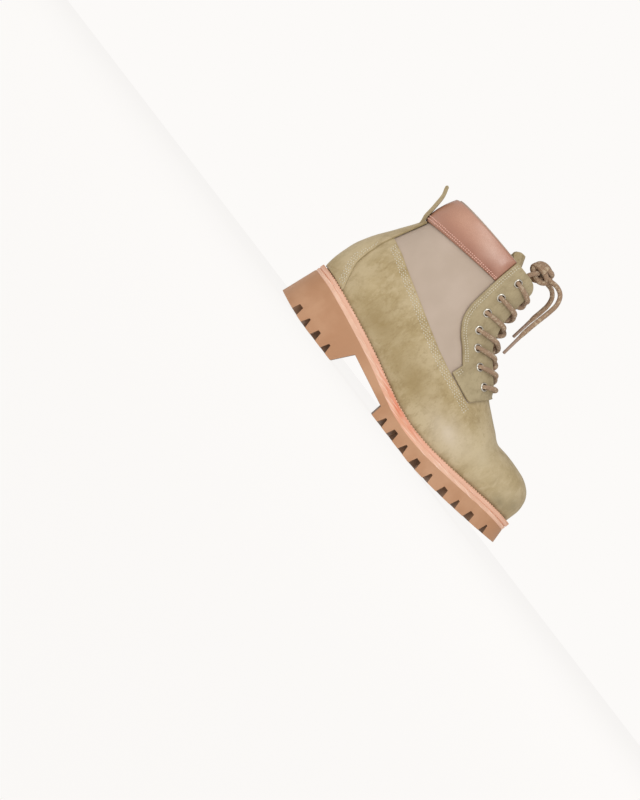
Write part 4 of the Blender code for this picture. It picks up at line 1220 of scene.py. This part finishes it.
COLLAR_PAINTED_LIGHT = table(CollarMark,
    (-104.0, 176.0, 46.0, 34.0, 0.7, (212, 164, 138)),
    (-70.0, 177.0, 50.0, 22.0, 0.6, (216, 178, 158)),
    (-60.0, 176.0, 26.0, 16.0, 0.7, (224, 192, 176)),
    (-100.0, 157.0, 44.0, 15.0, 0.6, (150, 98, 76)),
    (-74.0, 161.0, 44.0, 17.0, 0.75, (146, 92, 70)),
    (-50.0, 164.0, 34.0, 20.0, 0.9, (140, 84, 62)),
    (-44.0, 182.0, 24.0, 24.0, 0.75, (164, 110, 88)),
    (-68.0, 190.0, 60.0, 10.0, 0.75, (164, 112, 90)))

collar_leather, shader, place = new_finish("rose_brown_leather", {
    "Specular IOR Level": 0.5, "Coat Weight": 0.55, "Coat Roughness": 0.22})
cloud = noise(place, 34.0, 4.0)
pores = place.node("ShaderNodeTexVoronoi", {"feature": "DISTANCE_TO_EDGE"}, {
    "Vector": place, "Scale": 780.0}, "Distance")
grain = between(pores, 0.0, 0.28)
colour = mixed(between(cloud, 0.35, 0.7), tint(184, 131, 107), tint(194, 145, 122))
# Painted highlights and painted shade on the band, on both sides.
for side in (-1, 1):
    for row in COLLAR_PAINTED_LIGHT:
        wear_and_shading = patch(place, (row.x, COLLAR_MARK_Y * side, row.z), (row.long, COLLAR_MARK_DEEP, row.tall))
        colour = mixed(wear_and_shading * row.share, colour, tint(*row.shade))
# Darker in the grain's crevices: painted shade.
colour = mixed((1 - grain) * 0.25, colour, tint(152, 100, 80))
dress(shader, colour, 0.32 + 0.14 * cloud, grain, 0.07)


def collar_lift(station, forward):
    """Height of the padding at a station, and at a distance behind the collar's front edge."""
    up = (station - COLLAR_ROW) / (COLLAR_TOP - COLLAR_ROW)
    if up < COLLAR_BULGE:
        puff = math.sqrt(1 - (1 - up / COLLAR_BULGE) ** 2)
        lift = COLLAR_SEAM_LIFT + (COLLAR_PUFF - COLLAR_SEAM_LIFT) * puff
    else:
        fall = ((up - COLLAR_BULGE) / (1 - COLLAR_BULGE)) ** 2
        lift = COLLAR_PUFF - (COLLAR_PUFF - COLLAR_TOP_LIFT) * fall
    ahead = min(forward / COLLAR_RUN_IN, 1.0)
    return COLLAR_SEAM_LIFT + (lift - COLLAR_SEAM_LIFT) * math.sqrt(ahead * (2 - ahead))


def collar_front(station):
    """Share down where the collar starts, just under the eyestay's edge."""
    return crossing(station, eyestay_line) - COLLAR_UNDER


def collar_row(station, side, angle=0.0):
    """Points from the collar's front edge to the heel, turned inwards by an angle."""
    first = collar_front(station)
    row = []
    for down in closing_in(first, 1, COLLAR_COLUMNS):
        forward = (skin(station, down, side) - skin(station, first, side)).length
        lift = collar_lift(station, forward)
        turned_in = 0.5 * (lift - COLLAR_INSIDE) * (1 - math.cos(angle))
        point = skin_lifted(station, down, side, lift - turned_in)
        row.append(point + Vector((0.0, 0.0, COLLAR_ROLL * math.sin(angle))))
    return row


def make_collar():
    """The padded band: up the outside, over the topline and down the inside."""
    form = bmesh.new()
    for side in (-1, 1):
        rows = [collar_row(station, side) for station in np.linspace(COLLAR_ROW, COLLAR_TOP, COLLAR_ROWS)]
        for step in range(1, COLLAR_ROLL_STEPS + 1):
            rows.append(collar_row(COLLAR_TOP, side, math.pi * step / COLLAR_ROLL_STEPS))
        inner = rows[-1]
        for step in range(1, COLLAR_FACING_STEPS + 1):
            drop = Vector((0.0, 0.0, COLLAR_FACING * step / COLLAR_FACING_STEPS))
            rows.append([point - drop for point in inner])
        lay_grid(form, rows if side > 0 else [row[::-1] for row in rows])
    weld(form, COLLAR_WELD)
    collar = place_mesh("boot_collar", form, (collar_leather,), COLLAR_SHARP)
    thicken(collar, COLLAR_LEATHER, offset=-1.0)
    return collar


collar = make_collar()
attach(collar, "root")
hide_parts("collar")
pink_thread = thread_finish("pale_pink_thread", (240, 200, 184), (220, 168, 150))
collar_rows = []
for distance in COLLAR_STITCHES:
    for side in (-1, 1):
        points = []
        normals = []
        seam_point = skin(COLLAR_ROW, COLLAR_RISE_AT, side)
        above = skin(COLLAR_ROW + COLLAR_RISE_STEP, COLLAR_RISE_AT, side)
        station = COLLAR_ROW + distance * COLLAR_RISE_STEP / (above - seam_point).length
        front = collar_front(station)
        start = front + COLLAR_STITCH_START
        for down in np.linspace(start, COLLAR_STITCH_END, COLLAR_STITCH_SPOTS):
            forward = (skin(station, down, side) - skin(station, front, side)).length
            lift = collar_lift(station, forward) + COLLAR_STITCH_LIFT
            points.append(skin_lifted(station, down, side, lift))
            normals.append(outward(station, down, side))
        collar_rows.append((np.array(points), np.array(normals)))
stitch_row("collar_stitches", collar_rows, STITCH_PITCH, STITCH, STITCH_RADIUS, pink_thread)

# Pull tab. A doubled suede strip, sewn in between the backstay's top and the collar. It is
# folded over at its free end and curls away from the heel.
PULL_TAB = table(LineRow,
    (-122.6, 142.5), (-124.2, 147.2), (-126.0, 151.5), (-126.8, 157.0), (-128.6, 166.0),
    (-130.8, 175.0), (-134.6, 182.0))
TAB_HALF = 8.82
TAB_LAYER = 1.8
TAB_APART = 0.91
TAB_FOLD = 1.3
TAB_STEPS = 30
TAB_FOLD_STEPS = 10
TAB_COLUMNS = 16


def make_pull_tab():
    """The strip, up one side, round its fold and down the other."""
    knots = list(range(len(PULL_TAB)))
    run_x = smooth(knots, [row.x for row in PULL_TAB])
    run_z = smooth(knots, [row.z for row in PULL_TAB])
    places = [knots[-1] * i / TAB_STEPS for i in range(TAB_STEPS + 1)]
    line = [Vector((run_x(place), run_z(place))) for place in places]
    outer = []
    inner = []
    for i, point in enumerate(line):
        run = (line[min(i + 1, TAB_STEPS)] - line[max(i - 1, 0)]).normalized()
        left = Vector((-run.y, run.x)) * TAB_APART
        outer.append(point + left)
        inner.append(point - left)
    run = (line[-1] - line[-3]).normalized() * TAB_APART
    left = Vector((-run.y, run.x))
    fold = []
    for step in range(1, TAB_FOLD_STEPS):
        angle = math.pi * step / TAB_FOLD_STEPS
        fold.append(line[-1] + left * math.cos(angle) + run * TAB_FOLD * math.sin(angle))
    across = [SHAFT_MID + TAB_HALF * (2 * j / TAB_COLUMNS - 1) for j in range(TAB_COLUMNS + 1)]
    form = bmesh.new()
    lay_grid(form, [[(point.x, y, point.y) for y in across] for point in outer + fold + inner[::-1]])
    tab = place_mesh("boot_pull_tab", form, (vamp_suede, vamp_suede, eyestay_suede), SHEET_SHARP)
    thicken(tab, TAB_LAYER, offset=0.0, inside=1, rim=2)
    soften(tab, width=0.3, segments=2, turn=55)
    return tab


pull_tab = make_pull_tab()
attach(pull_tab, "root")
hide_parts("pull_tab")

# Eyestays. Suede facings along both sides of the throat, with a squared foot on the vamp,
# sewn along their rear edge with two rows of cream thread and tacked at the step.
EYESTAY = 2.05
ON_EYESTAY = OVERLAY_CLEAR + EYESTAY
EYESTAY_MIN_GAP = 4.0
EYESTAY_FOOT = 0.5
EYESTAY_FOOT_LIFT = 1.3
EYESTAY_STEPS = 18
EYESTAY_CROWDING = 1.25
EYESTAY_SLICES = 140
EYESTAY_STITCHES = (2.2, 4.4)
EYESTAY_STITCH_TOP = 189.0
TACK_FOOT = (3.1, 82.5)
TACK_TOP = (3.5, 92.0)


def eyestay_columns(station):
    """Shares down and lifts of the facing, from the throat to its rear edge."""
    sec = section(station)
    first = top_corner(station)
    if sec.gap < EYESTAY_MIN_GAP:
        reach = (EYESTAY_MIN_GAP ** 2 - sec.gap ** 2) / (sec.half ** 2 - sec.gap ** 2)
        first = sec.widest * (1 - math.sqrt(1 - reach))
    last = crossing(station, eyestay_line)
    foot = max(1 - (station - THROAT_ROW) / EYESTAY_FOOT, 0.0)
    lift = OVERLAY_CLEAR + EYESTAY_FOOT_LIFT * foot * foot
    shares = [(i / EYESTAY_STEPS) ** EYESTAY_CROWDING for i in range(EYESTAY_STEPS + 1)]
    return [(first + (last - first) * share, lift) for share in shares]


eyestay_stations = np.linspace(THROAT_ROW, TOP_ROW, EYESTAY_SLICES + 1)
eyestay_rows = []
for side, label in ((-1, "lateral"), (1, "medial")):
    eyestay = overlay(
        f"boot_eyestay_{label}", eyestay_stations, eyestay_columns, EYESTAY, eyestay_suede, (side,))
    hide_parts(f"eyestay_{label}")
    for distance in EYESTAY_STITCHES:
        rear = shifted(eyestay_rear, -distance)[1:]
        top = LineRow(rear[-1].x, EYESTAY_STITCH_TOP)
        rear = [row for row in rear if row.z < EYESTAY_STITCH_TOP] + [top]
        tack = [LineRow(x + distance, z) for x, z in (TACK_FOOT, TACK_TOP)]
        eyestay_rows += [row_on_upper(line, side, ON_EYESTAY) for line in (rear, tack)]
stitch_row("eyestay_stitches", eyestay_rows, STITCH_PITCH, STITCH, STITCH_RADIUS, cream_thread)

# Eyelets. Nickel-plated steel rings, turned with a rolled flange and a short barrel, pressed
# through each eyestay, seven on either side.
EYELETS = table(LineRow,
    (30.5, 95.5), (14.0, 103.8), (-1.0, 113.0), (-13.5, 124.5), (-21.5, 140.2), (-24.8, 158.5),
    (-25.8, 178.5))
EYELET_PROFILE = (
    (2.6, -3.4), (2.58, -0.6), (2.64, 0.3), (2.92, 0.75), (3.4, 1.0), (3.9, 0.85), (4.3, 0.4),
    (4.45, 0.0), (4.2, -0.3), (2.8, -0.3), (2.8, -3.4), (2.6, -3.4))
EYELET_SIDES = 28
EYELET_BORE = 2.85
EYELET_BORE_DEPTH = 12.0
EYELET_BORE_SIDES = 24
ALL_SMOOTH = 180

nickel, shader, place = new_finish("nickel_steel", {"Metallic": 1.0})
cloud = noise(place, 500.0, 3.0)
dress(shader, mixed(cloud, tint(226, 222, 212), tint(196, 190, 178)), 0.22 + 0.2 * cloud, cloud, 0.02)
eyelet_places = [locate(row.x, row.z) for row in EYELETS]


def turned(name, profile, around, centre, axis, material):
    """Closed piece of a profile (radius, height) in millimetres, turned round an axis at a place."""
    lean = Vector(axis).to_track_quat("Z", "Y")
    turns = [math.tau * k / around for k in range(around + 1)]
    rows = []
    for radius, height in profile:
        ring = [Vector((radius * math.cos(turn), radius * math.sin(turn), height)) for turn in turns]
        rows.append([Vector(centre) + lean @ point for point in ring])
    form = bmesh.new()
    lay_grid(form, rows)
    weld(form, RING_WELD)
    bmesh.ops.holes_fill(form, edges=form.edges, sides=0)
    bmesh.ops.recalc_face_normals(form, faces=form.faces)
    piece = place_mesh(name, form, (material,), ALL_SMOOTH)
    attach(piece, "root")
    return piece


def punch(piece, sides):
    """Punch the eyelets' holes through a piece, on one or both sides of the boot."""
    form = bmesh.new()
    for side in sides:
        for station, down in eyelet_places:
            turn = outward(station, down, side).to_track_quat("Z", "Y").to_matrix().to_4x4()
            turn.translation = skin(station, down, side) * MM
            bmesh.ops.create_cone(
                form, cap_ends=True, segments=EYELET_BORE_SIDES, radius1=EYELET_BORE * MM,
                radius2=EYELET_BORE * MM, depth=EYELET_BORE_DEPTH * MM, matrix=turn)
    cut_away(piece, form)
    piece.data.set_sharp_from_angle(angle=math.radians(SHEET_SHARP))


punch(upper, (-1, 1))
for side, label in ((-1, "lateral"), (1, "medial")):
    punch(bpy.data.objects[f"boot_eyestay_{label}"], (side,))
    for number, (station, down) in enumerate(eyelet_places, 1):
        centre = skin_lifted(station, down, side, ON_EYESTAY)
        eyelet = turned(f"boot_eyelet_{label}_{number}", EYELET_PROFILE, EYELET_SIDES, centre,
                        outward(station, down, side), nickel)
        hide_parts(f"eyelet_{label}_{number}")

# Lace. One round braided cord, brown with paler flecks. Its middle lies as a bar over the
# first pair of eyelets; each half then comes up from under one eyestay, crosses the tongue,
# passes over the other eyestay and goes down through the next eyelet.
LACE = 2.3
LACE_DRAWN = 2.45
LACE_IN_EYELET = 2.0
LACE_RISING = 2.1
LACE_HIDDEN = 1.4
LACE_SIDES = 12
CORD_SIDES = 14
CORD_SHARP = 60
ABOVE_EYELET = 1.6
BELOW_EYELET = -1.0
STRAND_HUMP = 4.3
LACE_STEPS = 7
BRAID_ALONG = 0.9
BRAID_AROUND = 5.0
FLECK_STRETCH = (0.62, 10.0, 1.0)
StrandRow = namedtuple("StrandRow", "rise gap reach inset eyestay lift hump radius")
STRAND = table(StrandRow,
    (0.12, -1.00, 0.0, -1.5, 0, -3.4, 0.0, LACE_HIDDEN),
    (0.22, -1.00, 0.0, 4.6, 0, -1.6, 0.0, LACE_RISING),
    (0.36, -0.38, 0.0, 0.0, 0, -2.8, 0.7, LACE_DRAWN),
    (0.50, 0.00, 0.0, 0.0, 0, -3.5, 1.0, LACE_DRAWN),
    (0.66, 0.45, 0.0, 0.0, 0, -1.2, 0.5, LACE_DRAWN),
    (0.80, 1.00, 0.0, 0.0, 1, -0.1, 0.0, LACE_DRAWN),
    (0.92, 0.50, 0.5, 0.0, 1, 0.1, 0.0, LACE_DRAWN))
BarRow = namedtuple("BarRow", "fore gap reach eyestay lift")
BAR = table(BarRow,
    (0.32, 0.0, 0.0, 0, -0.6),
    (0.28, 0.5, 0.0, 0, 0.8),
    (0.18, 1.0, 0.0, 1, 0.0),
    (0.06, 0.5, 0.5, 1, 0.5))
LACE_ON_EYESTAY = ON_EYESTAY + LACE

lace_braid, shader, place = new_finish("brown_lace", {"Specular IOR Level": 0.25, "Sheen Weight": 0.1})
strip = place.node("ShaderNodeUVMap", {"uv_map": "braid"}, {})
along, around = [
    strip.node("ShaderNodeSeparateXYZ", {}, {"Vector": strip}, axis) for axis in ("X", "Y")]
left = (along * BRAID_ALONG + around * BRAID_AROUND) * math.tau
right = (along * BRAID_ALONG - around * BRAID_AROUND) * math.tau
plait = left.maths("SINE", left) * right.maths("SINE", right)
ridge = 0.5 + 0.5 * plait
flecked = strip.node("ShaderNodeMapping", {}, {"Vector": strip, "Scale": FLECK_STRETCH})
fleck = flecked.node("ShaderNodeTexVoronoi", {"feature": "F1"}, {
    "Vector": flecked, "Scale": 1.0}, "Color")
fleck = flecked.node("ShaderNodeSeparateColor", {}, {"Color": fleck})
colour = mixed(between(fleck, 0.74, 0.84) * 0.8, tint(176, 146, 119), tint(216, 196, 166))
# Darker in the grooves between the plaits: painted shade.
colour = mixed((1 - ridge) * 0.45, colour, tint(136, 108, 86))
dress(shader, colour, 0.74 + 0.12 * ridge, ridge, 0.35)


def rounded(stops, steps):
    """Smooth curve through stops of (point, radius), and the radius at each place along it."""
    points, widths = zip(*stops)
    radii = []
    for first, second in zip(widths, widths[1:]):
        for t in (step / steps for step in range(steps)):
            radii.append(first + (second - first) * t * t * (3 - 2 * t))
    return curve_through(points, steps), radii + [widths[-1]]


def cord_tube(name, curve, radii, around=CORD_SIDES):
    """Round cord along a curve in millimetres, with a map of its length and girth."""
    form = bmesh.new()
    map_layer = form.loops.layers.uv.new("braid")
    side = (curve[1] - curve[0]).normalized().orthogonal().normalized()
    turns = [math.tau * k / around for k in range(around)]
    rings = []
    lengths = [0.0]
    for i, point in enumerate(curve):
        ahead = (curve[min(i + 1, len(curve) - 1)] - curve[max(i - 1, 0)]).normalized()
        side = (side - ahead * side.dot(ahead)).normalized()
        other = ahead.cross(side)
        ring = [point + radii[i] * (math.cos(turn) * side + math.sin(turn) * other) for turn in turns]
        rings.append([form.verts.new(corner * MM) for corner in ring])
        if i:
            lengths.append(lengths[-1] + (point - curve[i - 1]).length)
    for i, (first, second) in enumerate(zip(rings, rings[1:])):
        for k in range(around):
            j = (k + 1) % around
            face = form.faces.new((first[k], first[j], second[j], second[k]))
            ends = ((lengths[i], k), (lengths[i], k + 1), (lengths[i + 1], k + 1), (lengths[i + 1], k))
            for loop, (long, turn) in zip(face.loops, ends):
                loop[map_layer].uv = (long, turn / around)
    form.faces.new(rings[0][::-1])
    form.faces.new(rings[-1])
    cord = place_mesh(name, form, (lace_braid,), CORD_SHARP)
    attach(cord, "root")
    return cord


def eyelet_y(number):
    """Distance of an eyelet from the middle line."""
    station, down = eyelet_places[number]
    return half_at(section(station), down)


def through_eyelet(number, side):
    """Points down into an eyelet, and the cord's radius at each."""
    station, down = eyelet_places[number]
    return [(skin_lifted(station, down, side, lift), LACE_IN_EYELET)
            for lift in (ON_EYESTAY + ABOVE_EYELET, BELOW_EYELET)]


def half_lace(start_side):
    """One half of the lace, from the middle of the bar to the inside of the top eyelet."""
    station = eyelet_places[0][0]
    gap = section(station).gap
    reach = eyelet_y(0)
    stops = []
    for row in BAR:
        y = row.gap * gap + row.reach * reach
        lift = row.eyestay * LACE_ON_EYESTAY + row.lift
        stops.append((over_throat(station - row.fore, start_side * y, lift), LACE_DRAWN))
    stops += through_eyelet(0, start_side)
    side = start_side
    for number in range(len(EYELETS) - 1):
        low = eyelet_places[number][0]
        rise = eyelet_places[number + 1][0] - low
        gap = section(low + 0.5 * rise).gap
        reach = eyelet_y(number + 1)
        over = STRAND_HUMP if (side > 0) == (number % 2 == 0) else 0.0
        for row in STRAND:
            y = row.gap * gap + row.reach * reach + row.inset
            lift = row.eyestay * LACE_ON_EYESTAY + row.lift + row.hump * over
            stops.append((over_throat(low + row.rise * rise, -side * y, lift), row.radius))
        side = -side
        stops += through_eyelet(number + 1, side)
    return stops


curve, radii = rounded(half_lace(1)[:0:-1] + half_lace(-1), LACE_STEPS)
lace = cord_tube("boot_lace", curve, radii, LACE_SIDES)
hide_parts("lace_bar", *[f"lace_cross_{number}" for number in range(1, 7)])

# Lace knot and ends. Both halves come up behind the eyestays, are tied in one knot above the
# throat and hang down in front of it. The knot is laid out as an outer ring, two strands bound
# round it and a small loop behind. Brown tips crimp the ends.
KNOT = (-19.0, SHAFT_MID, 203.5)
KNOT_LEAN = Vector((0.3, -0.9, 0.3)).to_track_quat("Z", "Y")
KNOT_STEPS = 60
KNOT_LOOP = 3.195
KNOT_LOOP_LOBE = 1.7
KNOT_LOOP_WAVE = 1.1
KNOT_LOOP_LIFT = -2.0
KNOT_CORD = 2.65
KNOT_RING = 9.0
KNOT_RING_FLAT = 0.94
KNOT_RING_LIFT = 1.6
KNOT_RING_DIP = 2.4
KNOT_RING_TURN = 0.9
BINDING_WIDE = 9.2
BINDING_DEEP = 7.8
BINDING_DRIFT = 1.6
BINDING_TURN = 0.6
BINDINGS = ((-14.0, -1.6), (8.0, 3.2))
RouteRow = namedtuple("RouteRow", "x y z")
RISER = table(RouteRow,
    (-25.5, 17.0, 183.0), (-25.0, 15.5, 190.0), (-23.0, 11.8, 196.8), (-20.6, 5.5, 201.0))
LONG_END = table(RouteRow,
    (-8.0, -5.0, 205.5), (0.5, -7.0, 206.8), (8.0, -9.0, 204.0), (12.6, -10.8, 196.4),
    (13.8, -12.2, 187.0), (14.0, -13.0, 177.0), (14.2, -13.4, 167.0), (14.8, -13.5, 157.0),
    (15.6, -13.5, 150.0))
SHORT_END = table(RouteRow,
    (-8.0, 5.0, 202.5), (-1.0, 7.2, 202.6), (5.2, 9.6, 198.8), (8.6, 11.6, 191.6), (9.6, 12.8, 183.6),
    (10.0, 13.4, 175.0), (10.6, 13.6, 168.0))
CORD_STEPS = 6
END_ROOT = 4.0
END_TIP = 1.7
AGLET_SIDES = 16
AGLET_OVERLAP = 0.2
AGLET_PROFILE = (
    (0.2, 20.3), (1.2, 20.2), (1.5, 19.6), (1.55, 13.0), (1.45, 12.6), (1.55, 12.2), (1.6, 6.0),
    (1.5, 5.6), (1.6, 5.2), (1.75, 0.4), (1.7, 0.0), (1.0, 0.0))

tip_plastic, shader, place = new_finish("brown_tip", {
    "Specular IOR Level": 0.5, "Coat Weight": 0.3, "Coat Roughness": 0.2})
cloud = noise(place, 420.0, 3.0)
dress(shader, mixed(cloud, tint(138, 112, 96), tint(168, 142, 122)), 0.32 + 0.2 * cloud, cloud, 0.08)


def small_loop(t):
    """Place on the small three-lobed loop behind the knot, at a turn."""
    x = math.sin(t) + KNOT_LOOP_LOBE * math.sin(2 * t)
    y = math.cos(t) - KNOT_LOOP_LOBE * math.cos(2 * t)
    z = -KNOT_LOOP_WAVE * math.sin(3 * t)
    return Vector((x, y, z)) * KNOT_LOOP + Vector((0.0, 0.0, KNOT_LOOP_LIFT))


def outer_ring(t):
    """Place on the outer strand, which dips behind the others and comes forward again."""
    z = KNOT_RING_LIFT - KNOT_RING_DIP * math.sin(t - KNOT_RING_TURN)
    return Vector((KNOT_RING * math.cos(t), KNOT_RING * KNOT_RING_FLAT * math.sin(t), z))


def binding(slant, aside):
    """Places on a strand that passes round the others, slanting over the knot's face."""
    run = Vector((math.cos(slant), math.sin(slant), 0.0))
    off = Vector((-math.sin(slant), math.cos(slant), 0.0))

    def place(t):
        deep = Vector((0.0, 0.0, BINDING_DEEP * math.cos(t)))
        drift = aside + BINDING_DRIFT * math.sin(t + BINDING_TURN)
        return run * BINDING_WIDE * math.sin(t) + deep + off * drift

    return place


knot_turns = [math.tau * (i % KNOT_STEPS) / KNOT_STEPS for i in range(KNOT_STEPS + 1)]
knot_strands = [binding(math.radians(slant), aside) for slant, aside in BINDINGS]
knot_parts = []
for strand in [small_loop, outer_ring] + knot_strands:
    loop = [Vector(KNOT) + KNOT_LEAN @ strand(turn) for turn in knot_turns]
    knot_parts.append(cord_tube("knot_strand", loop, [KNOT_CORD] * len(loop), LACE_SIDES))
bpy.ops.object.select_all(action="DESELECT")
for part in knot_parts:
    part.select_set(True)
bpy.context.view_layer.objects.active = knot_parts[0]
bpy.ops.object.join()
knot = knot_parts[0]
knot.name = "boot_lace_knot"
knot.select_set(False)
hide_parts("lace_knot")


def cord_route(rows, sign=1.0):
    """Points of a route, whose y counts from the shaft's middle line."""
    return [Vector((row.x, SHAFT_MID + sign * row.y, row.z)) for row in rows]


def length_of(curve):
    """Length of a curve in metres."""
    return sum((second - first).length for first, second in zip(curve, curve[1:])) * MM


for side, label in ((-1, "lateral"), (1, "medial")):
    inside = through_eyelet(len(EYELETS) - 1, side)[-1][0]
    stops = [(inside, LACE_IN_EYELET)] + [(point, LACE) for point in cord_route(RISER, side)]
    curve, radii = rounded(stops, CORD_STEPS)
    riser = cord_tube(f"boot_lace_riser_{label}", curve, radii)
    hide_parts(f"lace_riser_{label}")
    inside * MM
    length_of(curve)
    [point * MM for point in curve]
for rows, label in ((LONG_END, "long"), (SHORT_END, "short")):
    points = cord_route(rows)
    start = points[0] - (points[1] - points[0]).normalized() * END_ROOT
    stops = [(point, LACE) for point in [start] + points[:-1]] + [(points[-1], END_TIP)]
    curve, radii = rounded(stops, CORD_STEPS)
    heading = (curve[-1] - curve[-2]).normalized()
    aglet = turned(f"boot_aglet_{label}", AGLET_PROFILE, AGLET_SIDES, curve[-1] - heading * AGLET_OVERLAP,
                   heading, tip_plastic)
    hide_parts(f"aglet_{label}")
    lace_end = cord_tube(f"boot_lace_end_{label}", curve, radii)
    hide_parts(f"lace_end_{label}")
    start * MM
    length_of(curve)
    [point * MM for point in curve]

# Stage. A pale floor under an even pale sky, two soft lights above the camera's side, and a
# camera just above the floor on the boot's outer side, rolled as the photograph is.
ROLL = 52.5
VIEW_DISTANCE = 2.0
VIEW_HEIGHT = 0.015
VIEW_CENTRE = (-0.0506, -0.02, -0.0296)
VIEW_SPAN = 0.7347
SENSOR = 36.0
NEAREST = 0.005
FLOOR_SIZE = 8.0
SKY_LIGHT = 0.52
PALE = tint(252, 250, 248)
LIT_PLACE = Vector((0.0, 0.0, 0.08))

paper, shader, place = new_finish("pale_paper", {
    "Specular IOR Level": 0.0, "Emission Color": PALE, "Emission Strength": 0.90})
fleck = noise(place, 3.0, 2.0)
dress(shader, mixed(fleck, tint(82, 81, 80), tint(86, 85, 84)), 0.9 + 0.05 * fleck, fleck, 0.01)
bpy.ops.object.select_all(action="DESELECT")
bpy.ops.mesh.primitive_plane_add(size=FLOOR_SIZE)
floor = bpy.context.object
floor.name = "floor"
floor.data.materials.append(paper)

bpy.context.scene.view_settings.view_transform = "Standard"
world = bpy.data.worlds.new("studio")
world.use_nodes = True
backdrop = world.node_tree.nodes["Background"]
backdrop.inputs["Color"].default_value = PALE
seen = Field(world.node_tree, world.node_tree.nodes.new("ShaderNodeLightPath").outputs["Is Camera Ray"])
strength = seen * (1 - SKY_LIGHT) + SKY_LIGHT
world.node_tree.links.new(strength.socket, backdrop.inputs["Strength"])
bpy.context.scene.world = world
LightRow = namedtuple("LightRow", "name at size power")
LIGHTS = table(LightRow,
    ("key", (-0.9, -1.6, 1.6), 1.4, 15.5),
    ("fill", (0.8, -1.7, 0.8), 0.8, 10.0))
for row in LIGHTS:
    bpy.ops.object.light_add(type="AREA", location=row.at)
    lamp = bpy.context.object
    lamp.name = row.name
    lamp.data.size = row.size
    lamp.data.energy = row.power
    lamp.rotation_euler = (LIT_PLACE - Vector(row.at)).to_track_quat("-Z", "Y").to_euler()

camera_data = bpy.data.cameras.new("camera")
camera_data.sensor_width = SENSOR
camera_data.clip_start = NEAREST
camera_data.lens = SENSOR * VIEW_DISTANCE / VIEW_SPAN
camera = bpy.data.objects.new("camera", camera_data)
bpy.context.scene.collection.objects.link(camera)
camera.location = (VIEW_CENTRE[0], VIEW_CENTRE[1] - VIEW_DISTANCE, VIEW_HEIGHT)
look = (Vector(VIEW_CENTRE) - camera.location).to_track_quat("-Z", "Y")
camera.rotation_euler = look.to_euler()
camera.rotation_euler.rotate_axis("Z", math.radians(ROLL))
bpy.context.scene.camera = camera
